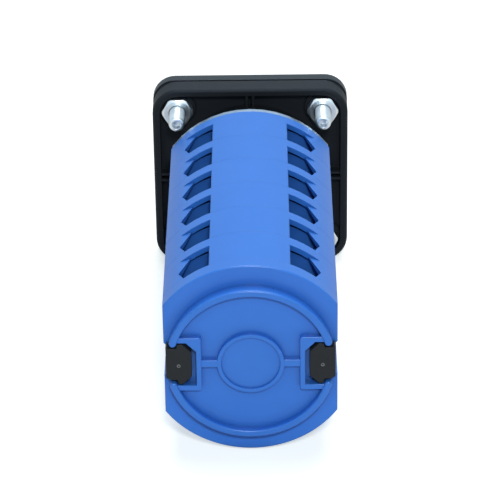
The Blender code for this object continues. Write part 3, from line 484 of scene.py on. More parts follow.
plate = combined(plate, extruded(tray, tray_floor, plate_high.y + PAST))
boss_top = tray_floor + BOSS_HEIGHT
for axis in nut_axes:
    boss = turned([(0, tray_floor / 2), (BOSS_RADIUS, tray_floor / 2),
                   (BOSS_RADIUS, boss_top - SOFT), (BOSS_RADIUS - SOFT, boss_top), (0, boss_top)],
                  48, middle=axis)
    plate = combined(plate, boss, "UNION")
rib_end = half - PLATE_RIM / 2
rib_top = plate_high.y - RIB_DROP
for sign in (1, -1):
    for spread in (1, -1):
        near = spread * RIB_SPREAD / 2 - RIB_THICK / 2
        far = near + RIB_THICK
        for upright in (True, False):
            rib = rectangle((near, RIB_START), (far, rib_end))
            rib = rib if upright else [(b, a) for a, b in rib]
            rib = mirrored(rib, 1, sign) if upright else mirrored(rib, sign, 1)
            beam = round_rim(extruded(rib, tray_floor / 2, rib_top), rib_top, SOFT, 2)
            plate = combined(plate, beam, "UNION")
for axis in nut_axes:
    plate = combined(plate, rod(SCREW_HOLE, -PAST, plate_high.y, 32, middle=axis))
plate = combined(plate, rod(SHAFT_HOLE, -PAST, plate_high.y, 48))
make_piece("mounting_plate_tray", plate, black_nylon, "base", "black_plastic", "mounting_plate")

# Front frame: glossier black nylon, moulded with a rounded front edge, a pocket for the legend and
# a small step behind that leaves a dark line. The plate screws lie countersunk in the pocket.
black_gloss_nylon = moulded_plastic("black gloss nylon", (0.0095, 0.0110, 0.0135),
                                    (0.0130, 0.0148, 0.0175), 0.38, 0.25, gloss=0.44,
                                    tint=COLD_SHEEN)
FRAME_CORNER = 0.0057
FRAME_ROUND = 0.0012
FRAME_STEP = 0.0003
FRAME_STEP_IN = 0.0005
LEGEND_CORNER = 0.0033
LEGEND_ROOM = 0.0003
SINK_RADIUS = 0.0040
SINK_DEPTH = 0.0020
frame_low, frame_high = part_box("front_frame")
legend_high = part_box("legend_plate")[1]
pocket_half = legend_high.x + LEGEND_ROOM
pocket_floor = legend_high.y + LEGEND_ROOM
front = extruded(rounded_box(frame_high.x, frame_high.x, FRAME_CORNER), frame_low.y,
                 frame_high.y - FRAME_STEP)
round_rim(front, frame_low.y, FRAME_ROUND, 5)
round_rim(front, frame_high.y - FRAME_STEP, SOFT, 2)
step_half = frame_high.x - FRAME_STEP_IN
front = combined(front, extruded(rounded_box(step_half, step_half, FRAME_CORNER - FRAME_STEP_IN),
                                 frame_high.y - 2 * FRAME_STEP, frame_high.y), "UNION")
front = combined(front, extruded(rounded_box(pocket_half, pocket_half, LEGEND_CORNER),
                                 frame_low.y - PAST, pocket_floor))
for axis in nut_axes:
    sink = turned([(0, pocket_floor - PAST), (SINK_RADIUS, pocket_floor - PAST),
                   (SINK_RADIUS, pocket_floor), (SCREW_HOLE, pocket_floor + SINK_DEPTH),
                   (SCREW_HOLE, frame_high.y + PAST), (0, frame_high.y + PAST)], 32, middle=axis)
    front = combined(front, sink)
front = combined(front, rod(SHAFT_HOLE, frame_low.y, frame_high.y + PAST, 48))
make_piece("front_frame_bezel", front, black_gloss_nylon, "base", "black_plastic", "front_frame")


# Legend plate: thin brushed aluminium in the frame's pocket, with plain numerals and marks
# printed in black at the knob's three positions.
def metal_surface():
    """Node group for bare or plated metal: blotches of tone and fine lines in one direction."""
    group = surface_group(
        "metal surface",
        (("Blotch Scale", 350.0), ("Line Scale", 900.0), ("Roughness", 0.3), ("Spread", 0.1)),
        ("Blotch", "Roughness", "Height"))
    stretch = group.interface.new_socket("Stretch", in_out="INPUT", socket_type="NodeSocketVector")
    stretch.default_value = (1.0, 1.0, 1.0)
    inner = group.nodes
    wire = group.links
    entry = inner.new("NodeGroupInput")
    leave = inner.new("NodeGroupOutput")
    place = inner.new("ShaderNodeTexCoord")
    drawn = inner.new("ShaderNodeVectorMath")
    drawn.operation = "MULTIPLY"
    blotch = inner.new("ShaderNodeTexNoise")
    blotch.inputs["Detail"].default_value = 4.0
    lines = inner.new("ShaderNodeTexNoise")
    lines.inputs["Detail"].default_value = 3.0
    wire.new(place.outputs["Object"], drawn.inputs[0])
    wire.new(entry.outputs["Stretch"], drawn.inputs[1])
    wire.new(place.outputs["Object"], blotch.inputs["Vector"])
    wire.new(drawn.outputs[0], lines.inputs["Vector"])
    wire.new(entry.outputs["Blotch Scale"], blotch.inputs["Scale"])
    wire.new(entry.outputs["Line Scale"], lines.inputs["Scale"])
    wire.new(blotch.outputs["Fac"], leave.inputs["Blotch"])
    wire.new(strayed(inner, wire, entry, lines), leave.inputs["Roughness"])
    wire.new(lines.outputs["Fac"], leave.inputs["Height"])
    return group


METAL = metal_surface()


def metal(name, dull, bright, roughness, stretch=(1.0, 1.0, 1.0), lines=0.15, painted_shade=0.0):
    """Metal whose tone drifts between two colours, with fine lines along its stretch and, if asked,
    painted shade in nooks.
    """
    look, shader, surface = surfaced(name, METAL, "Blotch", (dull, bright), roughness, 0.12,
                                     (lines, 0.00001), (4, 0.0001), (painted_shade, 0.0025))
    shader.inputs["Metallic"].default_value = 1.0
    surface.inputs["Stretch"].default_value = stretch
    return look


LEGEND_INK = 0.00004
MARK_RADIUS = 0.0163
MARK_CORNER = (0.00025, 0.0008)
NUMERAL_RADIUS = 0.0187
NUMERAL_HEIGHT = 0.0036
POSITIONS = (("1", -60), ("0", 0), ("2", 60))
legend_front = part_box("legend_plate")[0].y
brushed_aluminium = metal("brushed aluminium", (0.66, 0.67, 0.68), (0.76, 0.77, 0.78), 0.34,
                          stretch=(1.0, 1.0, 24.0), lines=0.3)
legend = merged_copy("legend_plate")
round_edges(legend, 0.0001)
make_piece("legend_sheet", legend, brushed_aluminium, "base", "legend_aluminium", "legend_plate")
black_ink = moulded_plastic("black ink", (0.012, 0.012, 0.013), (0.020, 0.020, 0.021), 0.50,
                            0.05)
for numeral, degrees in POSITIONS:
    lean = math.radians(degrees)
    mark = extruded(rectangle((-MARK_CORNER[0], -MARK_CORNER[1]), MARK_CORNER),
                    legend_front - LEGEND_INK, legend_front + LEGEND_INK)
    bmesh.ops.translate(mark, verts=mark.verts, vec=(0, 0, MARK_RADIUS))
    bmesh.ops.rotate(mark, verts=mark.verts, matrix=Matrix.Rotation(lean, 3, "Y"))
    make_piece(f"legend_mark_{numeral}", mark, black_ink, "base", "legend_aluminium")
    letter = bpy.data.curves.new("numeral", "FONT")
    letter.body = numeral
    letter.size = NUMERAL_HEIGHT
    letter.extrude = LEGEND_INK
    letter.align_x = "CENTER"
    letter.align_y = "CENTER"
    holder = bpy.data.objects.new("numeral", letter)
    bpy.context.scene.collection.objects.link(holder)
    bpy.context.view_layer.update()
    printed = bmesh.new()
    printed.from_mesh(holder.evaluated_get(bpy.context.evaluated_depsgraph_get()).to_mesh())
    bpy.data.objects.remove(holder, do_unlink=True)
    bmesh.ops.remove_doubles(printed, verts=printed.verts, dist=MERGE)
    bmesh.ops.rotate(printed, verts=printed.verts, matrix=Matrix.Rotation(math.pi / 2, 3, "X"))
    bmesh.ops.translate(printed, verts=printed.verts, vec=(
        NUMERAL_RADIUS * math.sin(lean), legend_front, NUMERAL_RADIUS * math.cos(lean)))
    make_piece(f"legend_numeral_{numeral}", printed, black_ink, "base", "legend_aluminium")


# Plate screws and nuts: M4 in steel, bright zinc plated with a cold blue cast. The screws pass
# from the frame through the panel and the plate's bosses, and the nuts clamp the plate.
THREAD_PITCH = 0.0007
THREAD_ROOT = 0.00186
THREAD_CREST = 0.00200
THREAD_STEPS = 22
THREAD_RUNOUT = 0.00075
HEAD_RADIUS = 0.0036
SHANK_RADIUS = 0.0018
SCREW_SHORTER = 0.0004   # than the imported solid
SCREW_END = ((THREAD_ROOT, 0.00045), (0.00178, 0.00022), (0.00162, 0.00006), (0.00145, 0.0),
             (0.00115, 0.0), (0.00100, 0.0002), (0.00085, 0.0013), (0, 0.0016))
NUT_THICK = 0.0027
NUT_APOTHEM = 0.0035
NUT_LIMIT = 0.00384
NUT_FACE_FRONT = 0.00335
NUT_FACE_REAR = 0.00325
NUT_BORE = 0.00205
# Painted shade in nooks darkens the nut faces round each screw and the hole in each screw's end.
zinc_plate = metal("zinc plate", (0.78, 0.88, 0.95), (0.95, 0.98, 1.0), 0.32, lines=0.25, painted_shade=0.4)
nut_front = boss_top
nut_rear = nut_front + NUT_THICK
screw_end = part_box("plate_screw_1")[1].y - SCREW_SHORTER
screw_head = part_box("plate_screw_1")[0].y
thread_length = screw_end - THREAD_RUNOUT - nut_front
for number, axis in enumerate(nut_axes, 1):
    core = turned([(0, screw_head), (HEAD_RADIUS, screw_head),
                   (SHANK_RADIUS, screw_head + HEAD_RADIUS - SHANK_RADIUS),
                   (THREAD_ROOT, screw_head + 0.0022)]
                  + [(radius, screw_end - drop) for radius, drop in SCREW_END], 32, middle=axis)
    ridge = bmesh.new()
    tooth = [ridge.verts.new((r, nut_front + y * THREAD_PITCH, 0)) for r, y in (
        (THREAD_ROOT - 0.0001, -0.46), (THREAD_CREST, -0.06), (THREAD_CREST, 0.06),
        (THREAD_ROOT - 0.0001, 0.46))]
    face = ridge.faces.new(tooth)
    turns = thread_length / THREAD_PITCH
    bmesh.ops.spin(ridge, geom=[face, *face.edges, *tooth], cent=(0, 0, 0), axis=(0, 1, 0),
                   dvec=(0, THREAD_PITCH / THREAD_STEPS, 0), angle=2 * math.pi * turns,
                   steps=round(turns * THREAD_STEPS), use_merge=False, use_duplicate=False)
    bmesh.ops.recalc_face_normals(ridge, faces=ridge.faces)
    bmesh.ops.translate(ridge, verts=ridge.verts, vec=axis)
    make_piece(f"plate_screw_threaded_{number}", joined(core, ridge), zinc_plate, "base", "zinc",
               f"plate_screw_{number}")
    corners = arc(NUT_APOTHEM / math.cos(math.pi / 6), 0, math.pi * 5 / 3, 5)
    rounding = turned([(NUT_BORE, nut_front + 0.0002), (0.0023, nut_front),
                       (NUT_FACE_FRONT, nut_front), (NUT_LIMIT, nut_front + 0.0003),
                       (NUT_LIMIT, nut_rear - 0.0004), (NUT_FACE_REAR, nut_rear),
                       (0.0022, nut_rear), (NUT_BORE, nut_rear - 0.00015),
                       (NUT_BORE, nut_front + 0.0002)], 48)
    nut = combined(extruded(corners, nut_front, nut_rear), rounding, "INTERSECT")
    bmesh.ops.translate(nut, verts=nut.verts, vec=axis)
    make_piece(f"plate_nut_chamfered_{number}", nut, zinc_plate, "base", "zinc",
               f"plate_nut_{number}")

# Indexing housing: black nylon behind the plate, with the cavity for the detent inside.
housing = merged_copy("indexing_housing")
make_piece("indexing_housing_shell", housing, black_nylon, "base", "black_plastic",
           "indexing_housing")

# Detent star: black acetal on the shaft, whose notches the two steel rollers drop into.
black_acetal = moulded_plastic("black acetal", (0.012, 0.012, 0.013), (0.018, 0.018, 0.019),
                               0.34, 0.15)
star = merged_copy("detent_star")
round_edges(star, 0.0002)
make_piece("detent_star_moulding", star, black_acetal, "rotor", "black_plastic", "detent_star")
drawn_steel = metal("drawn steel", (0.46, 0.47, 0.49), (0.60, 0.61, 0.63), 0.30,
                    stretch=(8.0, 1.0, 8.0))
ROLLER_CHAMFER = 0.0002
for side in ("left", "right"):
    low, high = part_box(f"detent_roller_{side}")
    radius = (high.z - low.z) / 2
    roller = turned([(0, low.y), (radius - ROLLER_CHAMFER, low.y), (radius, low.y + ROLLER_CHAMFER),
                     (radius, high.y - ROLLER_CHAMFER), (radius - ROLLER_CHAMFER, high.y),
                     (0, high.y)], 32, middle=((low.x + high.x) / 2, 0, (low.z + high.z) / 2))
    make_piece(f"detent_roller_ground_{side}", roller, drawn_steel, "base", "steel",
               f"detent_roller_{side}")
    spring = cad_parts[f"detent_spring_{side}"].data
    spring.materials.clear()
    spring.materials.append(drawn_steel)

# Shaft: drawn square steel with chamfered edges, through the housing and all six stages.
shaft = merged_copy("shaft")
round_edges(shaft, 0.00012)
make_piece("shaft_bar", shaft, drawn_steel, "rotor", "steel", "shaft")

# End disc: stamped steel sheet, zinc plated, between the indexing housing and the stack.
sheared_sheet = metal("sheared sheet", (0.18, 0.26, 0.36), (0.60, 0.72, 0.86), 0.34, lines=0.5)
disc = merged_copy("end_disc")
round_edges(disc, 0.0002)
make_piece("end_disc_stamping", disc, sheared_sheet, "base", "zinc", "end_disc")

# Contact chambers: blue nylon, six alike, each with a web, four wiring windows under a rim,
# side holes for the terminal screws and a channel on each flat for the tie straps.
stage_low, stage_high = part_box("chamber_1")
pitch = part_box("chamber_2")[0].y - stage_low.y
JOINT = 0.00001
JOINT_EDGE = 0.00004
HUB_HOLE = 0.0057
WINDOW_LIP = 0.00045
SIDE = stage_high.x
BOW = stage_high.z
WALL = 0.0016
WEB = 0.0020
ROOF = BOW - WALL
ARC_COUNT = 56
CHANNEL = 0.0035
CHANNEL_FLOOR = 0.0169
CHANNEL_MOUTH = 0.0007
WINDOW_INNER = 0.0090
WINDOW_FRONT = 0.0034
WINDOW_KNEE = 0.0131
WINDOW_TIP = 0.0158
WINDOW_TIP_Y = 0.0087
WINDOW_DEEP = 0.0143
SHOULDER_DROP = 0.0013
SHOULDER_OUTER = 0.0156
WINDOW_FLOOR = 0.0164
POCKET_FLOOR = 0.0134
POCKET_INNER = 0.0149
ROOM_OUTER = 0.0166
ROOM_ROOF = BOW - 0.0012
GROOVE_END = 0.0150
GUIDE_INNER = 0.0144
GUIDE_OUTER = 0.0149
GUIDE_TOP = 0.0160
GUIDE_LENGTH = 0.0018
GROOVE_DROP = 0.0007
GROOVE = 0.0005
GROOVE_START = 0.0005
PARTITION_THICK = 0.0012
PARTITION_SETBACK = 0.0002
PARTITION_FOOT = 0.0122
CONTACT_Y = 0.0077
TERMINAL_HEIGHT = 0.0090
ACCESS_RADIUS = 0.0030
SIDE_INNER = 0.0146
STRIP_TOP = 0.0119
BLUE_DULL = (0.036, 0.212, 0.790)
BLUE_BRIGHT = (0.048, 0.240, 0.850)
# Strong painted shade in nooks darkens the window insides and the corners of the blue nylon.
blue_nylon = moulded_plastic("blue nylon", BLUE_DULL, BLUE_BRIGHT, 0.32, 0.30, gloss=0.36, painted_shade=0.9)


def on_bow(radius, x):
    """Height of a bow at a distance from the middle plane."""
    return math.sqrt(radius ** 2 - x ** 2)


def stack_section():
    """Outline of the stack: bowed above and below, flat at the sides, with the strap channels."""
    corner = math.acos(SIDE / BOW)
    right = [(SIDE, -CHANNEL - CHANNEL_MOUTH), (SIDE - CHANNEL_MOUTH, -CHANNEL),
             (CHANNEL_FLOOR, -CHANNEL)]
    right += [(x, -z) for x, z in reversed(right)]
    return (right + arc(BOW, corner, math.pi - corner, ARC_COUNT) + [(-x, -z) for x, z in right]
            + arc(BOW, math.pi + corner, 2 * math.pi - corner, ARC_COUNT))


stage_end = pitch - JOINT
past = stage_end + WEB
partition_outer = WINDOW_INNER - PARTITION_SETBACK
partition_inner = partition_outer - PARTITION_THICK
quarter = ([(SIDE_INNER, STRIP_TOP), (ROOM_OUTER, STRIP_TOP + 0.0006)]
           + arc(ROOM_ROOF, math.acos(ROOM_OUTER / ROOM_ROOF),
                 math.acos(partition_outer / ROOM_ROOF), 6)
           + [(partition_outer, PARTITION_FOOT + 0.00015), (partition_inner, PARTITION_FOOT)]
           + arc(ROOF, math.acos(partition_inner / ROOF), math.pi / 2, 6))
half_room = quarter + mirrored(quarter, -1, 1)[1:]
room = half_room + [(-x, -z) for x, z in half_room]
shell = extruded(stack_section(), 0.0, stage_end)
round_rim(shell, 0.0, JOINT_EDGE, 2)
round_rim(shell, stage_end, JOINT_EDGE, 2)
shell = combined(shell, extruded(room, WEB, past))
shell = combined(shell, rod(HUB_HOLE, -WEB, 2 * WEB, 40))
high = on_bow(BOW, WINDOW_INNER) - SHOULDER_DROP
slope = (high - on_bow(BOW, SHOULDER_OUTER)) / (SHOULDER_OUTER - WINDOW_INNER)
reach = 2 * SIDE
shoulder = [(WINDOW_INNER, high), (reach, high - slope * (reach - WINDOW_INNER)),
            (reach, 2 * BOW), (WINDOW_INNER, 2 * BOW)]
rear_slope = (WINDOW_TIP - WINDOW_DEEP) / (stage_end - WINDOW_TIP_Y)
window = [(WINDOW_INNER, WINDOW_FRONT), (WINDOW_KNEE, WINDOW_FRONT), (WINDOW_TIP, WINDOW_TIP_Y),
          (WINDOW_DEEP - rear_slope * WEB, past), (WINDOW_INNER, past)]
front_slope = (WINDOW_TIP - WINDOW_KNEE) / (WINDOW_TIP_Y - WINDOW_FRONT)
pocket_width = WINDOW_TIP - POCKET_INNER
pocket = [(POCKET_INNER, WINDOW_TIP_Y - pocket_width / front_slope), (WINDOW_TIP, WINDOW_TIP_Y),
          (POCKET_INNER, WINDOW_TIP_Y + pocket_width / rear_slope)]
groove_low = high - slope * (GROOVE_END - WINDOW_INNER) - GROOVE_DROP
groove = [(WINDOW_INNER, high - GROOVE_DROP - GROOVE), (GROOVE_END, groove_low - GROOVE),
          (GROOVE_END, groove_low), (WINDOW_INNER, high - GROOVE_DROP)]
lean = math.asin(WINDOW_INNER / BOW)
lip_middle = (WINDOW_INNER - WINDOW_LIP,
              on_bow(BOW, WINDOW_INNER) - WINDOW_LIP / math.tan(math.pi / 4 + lean / 2))
lip = arc(WINDOW_LIP, 0, math.pi / 2 - lean, 6, lip_middle)
lip += [(lip[-1][0] - 0.0001, BOW), (WINDOW_INNER + WINDOW_LIP, BOW),
        (WINDOW_INNER + WINDOW_LIP, lip_middle[1])]
guide = rectangle((GUIDE_INNER, STRIP_TOP), (GUIDE_OUTER, GUIDE_TOP))
for sx, sz in SIDES:
    for cut in (lip, shoulder):
        shell = combined(shell, extruded(mirrored(cut, sx, sz), WINDOW_FRONT, past))
    low, top = sorted((sz * WINDOW_FLOOR, sz * 2 * BOW))
    shell = combined(shell, extruded(mirrored(window, sx, 1), low, top, plan=True))
    low, top = sorted((sz * POCKET_FLOOR, sz * (WINDOW_FLOOR + 0.0001)))
    shell = combined(shell, extruded(mirrored(pocket, sx, 1), low, top, plan=True))
    shell = combined(shell, extruded(mirrored(groove, sx, sz), GROOVE_START, WEB + 0.0001))
    rail = extruded(mirrored(guide, sx, sz), stage_end - GUIDE_LENGTH, stage_end - JOINT)
    shell = combined(shell, rail, "UNION")
    start, end = sorted((sx * (SIDE_INNER - 0.0003), sx * (SIDE + 0.0003)))
    shell = combined(shell, rod(ACCESS_RADIUS, start, end, 28, "X",
                                (0, CONTACT_Y, sz * TERMINAL_HEIGHT)))
for number in range(1, 7):
    stage = shell.copy()
    bmesh.ops.translate(stage, verts=stage.verts, vec=(0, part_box(f"chamber_{number}")[0].y, 0))
    make_piece(f"chamber_shell_{number}", stage, blue_nylon, "base", "blue_plastic",
               f"chamber_{number}")
shell.free()

# Fixed contacts and terminal screws: four bent brass angles in each chamber, each with a zinc
# plated screw in its leg, which the side hole lets a screwdriver reach.
STRIP_THICK = 0.0009
STRIP_INNER = 0.0048
STRIP_FOOT = 0.0062
STRIP_HALF = 0.0027
STRIP_BEND = 0.0004      # inside the bend, and twice that outside
SCREW_HEAD = 0.0025
SCREW_HEAD_HEIGHT = 0.0020
SCREW_HEAD_ROUND = 0.0004
SLIT_HALF = 0.0003
SLIT_REACH = 0.004
leg_outer = SIDE_INNER
leg_inner = leg_outer - STRIP_THICK
strip_under = STRIP_TOP - STRIP_THICK
rolled_brass = metal("rolled brass", (0.60, 0.42, 0.17), (0.74, 0.54, 0.25), 0.30,
                     stretch=(1.0, 12.0, 1.0))
for number in range(1, 7):
    contact_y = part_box(f"chamber_{number}")[0].y + CONTACT_Y
    strips = []
    heads = []
    for sx, sz in SIDES:
        angle = [(STRIP_INNER, strip_under), (leg_inner - STRIP_BEND, strip_under),
                 (leg_inner, strip_under - STRIP_BEND), (leg_inner, STRIP_FOOT),
                 (leg_outer, STRIP_FOOT), (leg_outer, STRIP_TOP - 2 * STRIP_BEND),
                 (leg_outer - 2 * STRIP_BEND, STRIP_TOP), (STRIP_INNER, STRIP_TOP)]
        strips.append(extruded(mirrored(angle, sx, sz), contact_y - STRIP_HALF,
                               contact_y + STRIP_HALF))
        inner_end = sx * leg_outer
        outer_end = sx * (leg_outer + SCREW_HEAD_HEIGHT)
        lip = sx * SCREW_HEAD_ROUND
        head = turned([(0, inner_end), (SCREW_HEAD, inner_end), (SCREW_HEAD, outer_end - lip),
                       (SCREW_HEAD - SCREW_HEAD_ROUND, outer_end), (0, outer_end)], 28, "X",
                      (0, contact_y, sz * TERMINAL_HEIGHT))
        slot_low, slot_high = sorted((outer_end - 2 * lip, outer_end + lip))
        slit = extruded(rectangle((slot_low, -SLIT_HALF), (slot_high, SLIT_HALF)),
                        contact_y - SLIT_REACH, contact_y + SLIT_REACH)
        bmesh.ops.translate(slit, verts=slit.verts, vec=(0, 0, sz * TERMINAL_HEIGHT))
        heads.append(combined(head, slit))
    contacts = joined(*strips)
    round_edges(contacts, 0.0001)
    make_piece(f"fixed_contacts_{number}", contacts, rolled_brass, "base", "steel")
    make_piece(f"terminal_screws_{number}", joined(*heads), zinc_plate, "base", "zinc")

# Cams: natural nylon, one for each stage, on the square shaft.
natural_nylon = moulded_plastic("natural nylon", (0.66, 0.63, 0.55), (0.74, 0.71, 0.63), 0.45,
                                0.2)
for number in range(1, 7):
    cam = merged_copy(f"cam_{number}")
    round_edges(cam, 0.0002)
    make_piece(f"cam_disc_{number}", cam, natural_nylon, "rotor", "cam_plastic", f"cam_{number}")

# Plungers, contact bridges and contact springs: two sets in each stage, above and below the
# cam. The black plunger rides on the cam and carries a brass bridge, which a coil spring loads.
PLUNGER_HALF = 0.0025
BRIDGE_HALF = 0.0073
BRIDGE_THICK = 0.0008
BRIDGE_TIP = 0.0003
STEM_GAP = 0.00003
COIL_RADIUS = 0.0018
COIL_WIRE = 0.00022
COIL_TURNS = 5
COIL_STEPS = 20
for end, sz in (("upper", 1), ("lower", -1)):
    for number in range(1, 7):
        body = f"follower_{end}_{number}"
        low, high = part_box(f"plunger_{end}_{number}")
        near, far = sorted((abs(low.z), abs(high.z)))
        under = far - BRIDGE_THICK
        stem = extruded(rectangle((-PLUNGER_HALF, sz * near),
                                  (PLUNGER_HALF, sz * (under - STEM_GAP))), low.y, high.y)
        round_edges(stem, 0.0003)
        make_piece(f"plunger_stem_{end}_{number}", stem, black_acetal, body, "plunger_plastic")
        bar = [(-BRIDGE_HALF, under - BRIDGE_TIP), (-STRIP_INNER, under - BRIDGE_TIP),
               (-STRIP_INNER + BRIDGE_TIP, under), (STRIP_INNER - BRIDGE_TIP, under),
               (STRIP_INNER, under - BRIDGE_TIP), (BRIDGE_HALF, under - BRIDGE_TIP),
               (BRIDGE_HALF, far), (-BRIDGE_HALF, far)]
        bridge = extruded(mirrored(bar, 1, sz), low.y, high.y)
        round_edges(bridge, 0.0001)
        make_piece(f"contact_bridge_{end}_{number}", bridge, rolled_brass, body, "plunger_plastic",
                   f"plunger_{end}_{number}")
        low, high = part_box(f"contact_spring_{end}_{number}")
        foot, top = sorted((abs(low.z), abs(high.z)))
        rise = (top - foot - 2 * COIL_WIRE) / COIL_TURNS
        coil = bmesh.new()
        start = Matrix.Translation((COIL_RADIUS, 0, foot + COIL_WIRE))
        bmesh.ops.create_circle(coil, cap_ends=True, segments=10, radius=COIL_WIRE,
                                matrix=start @ Matrix.Rotation(math.pi / 2, 4, "X"))
        bmesh.ops.spin(coil, geom=coil.verts[:] + coil.edges[:] + coil.faces[:], cent=(0, 0, 0),
                       axis=(0, 0, 1), dvec=(0, 0, rise / COIL_STEPS),
                       angle=2 * math.pi * COIL_TURNS, steps=COIL_TURNS * COIL_STEPS,
                       use_merge=False, use_duplicate=False)
        if sz < 0:
            bmesh.ops.rotate(coil, verts=coil.verts, matrix=Matrix.Rotation(math.pi, 3, "X"))
        bmesh.ops.translate(coil, verts=coil.verts, vec=(0, (low.y + high.y) / 2, 0))
        bmesh.ops.recalc_face_normals(coil, faces=coil.faces)
        spring = make_piece(f"contact_coil_{end}_{number}", coil, drawn_steel, body, "spring_steel",
                            f"contact_spring_{end}_{number}")
        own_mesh(spring)

# Rear cover: blue nylon plate of the stack's section, with a raised ring, a centre ring, two
# cross ribs and a walled pocket on each side for the head of a tie strap.
cover_low, cover_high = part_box("rear_cover")
COVER_REAR = cover_high.y - 0.0028
RING_OUTER = 0.01885
RING_WIDTH = 0.00168
RING_TIP = 0.0054
PLATEAU = 0.0010
RIB = 0.0022
CENTRE_OUTER = 0.0075
CENTRE_WIDTH = 0.0010
CENTRE_DISC = 0.0016
CROSS_HALF = 0.00095
POCKET_START = 0.0109
POCKET_WALL = 0.0012
ARM_INNER = 0.0054
ARM_WIDTH = 0.0014
POCKET_CHAMFER = 0.0022
ROOT = 0.0005
RING_STEPS = 72
EDGE = 0.00025
CORNER = 0.0007
# Painted shade in nooks darkens the cover beside its rings, ribs and walls.
cover_nylon = moulded_plastic("cover nylon", BLUE_DULL, BLUE_BRIGHT, 0.30, 0.30,
                              soft_edge=0.00006, gloss=0.40, painted_shade=0.6, painted_shade_reach=0.003)
rear_top = cover_high.y
ring_inner = RING_OUTER - RING_WIDTH
ring_middle = (RING_OUTER + ring_inner) / 2
arm_outer = ARM_INNER + ARM_WIDTH
arm_middle = ARM_INNER + ARM_WIDTH / 2
wall_outer = POCKET_START + POCKET_WALL
wall_middle = POCKET_START + POCKET_WALL / 2
cover = extruded(stack_section(), cover_low.y, COVER_REAR)
round_rim(cover, COVER_REAR, 0.00040, 4)
bend = math.asin(arm_middle / ring_middle)
floor = (arc(ring_middle, bend, math.pi - bend, RING_STEPS)
         + [(-wall_middle, arm_middle), (-wall_middle, -arm_middle)]
         + arc(ring_middle, math.pi + bend, 2 * math.pi - bend, RING_STEPS)
         + [(wall_middle, -arm_middle), (wall_middle, arm_middle)])
cover = combined(cover, extruded(floor, COVER_REAR - ROOT, COVER_REAR + PLATEAU), "UNION")
tip_bend = math.asin(RING_TIP / ring_middle)
tip = (ring_middle * math.cos(tip_bend), RING_TIP)
half_ring = (arc(RING_OUTER, tip_bend, math.pi - tip_bend, RING_STEPS)
             + arc(RING_WIDTH / 2, math.pi - tip_bend, 2 * math.pi - tip_bend, 8,
                   (-tip[0], tip[1]))[1:-1]
             + arc(ring_inner, math.pi - tip_bend, tip_bend, RING_STEPS)
             + arc(RING_WIDTH / 2, math.pi + tip_bend, 2 * math.pi + tip_bend, 8, tip)[1:-1])
for sz in (1, -1):
    ring = extruded(mirrored(half_ring, 1, sz), COVER_REAR - 1.2 * ROOT, rear_top)
    cover = combined(cover, round_rim(ring, rear_top, 0.00050, 4), "UNION")
centre_inner = CENTRE_OUTER - CENTRE_WIDTH
rib_top = COVER_REAR + RIB
centre = turned([(0, COVER_REAR - ROOT), (CENTRE_OUTER, COVER_REAR - ROOT),
                 (CENTRE_OUTER, rib_top - EDGE), (CENTRE_OUTER - 0.3 * EDGE, rib_top - 0.3 * EDGE),
                 (CENTRE_OUTER - EDGE, rib_top), (centre_inner + EDGE, rib_top),
                 (centre_inner + 0.3 * EDGE, rib_top - 0.3 * EDGE), (centre_inner, rib_top - EDGE),
                 (centre_inner, COVER_REAR + CENTRE_DISC), (0, COVER_REAR + CENTRE_DISC)], 72)
cover = combined(cover, centre, "UNION")
arm_reach = math.sqrt(ring_middle ** 2 - arm_middle ** 2)
walls = ([(arm_reach, -arm_outer), (arm_reach, -ARM_INNER), (wall_outer, -ARM_INNER),
          (wall_outer, ARM_INNER - POCKET_CHAMFER), (wall_outer + POCKET_CHAMFER, ARM_INNER),
          (arm_reach, ARM_INNER), (arm_reach, arm_outer)]
         + arc(CORNER, math.pi / 2, math.pi, 5, (POCKET_START + CORNER, arm_outer - CORNER))
         + arc(CORNER, math.pi, 1.5 * math.pi, 5, (POCKET_START + CORNER, CORNER - arm_outer)))
cross_rib = rectangle((CENTRE_OUTER - CENTRE_WIDTH / 2, -CROSS_HALF), (wall_middle, CROSS_HALF))
for sx in (1, -1):
    for outline, root, top in ((walls, 0.8 * ROOT, rib_top + 0.0001),
                               (cross_rib, 0.6 * ROOT, rib_top - 0.0001)):
        beam = extruded(mirrored(outline, sx, 1), COVER_REAR - root, top)
        cover = combined(cover, round_rim(beam, top, EDGE), "UNION")
make_piece("rear_cover_moulding", cover, cover_nylon, "base", "blue_plastic", "rear_cover")

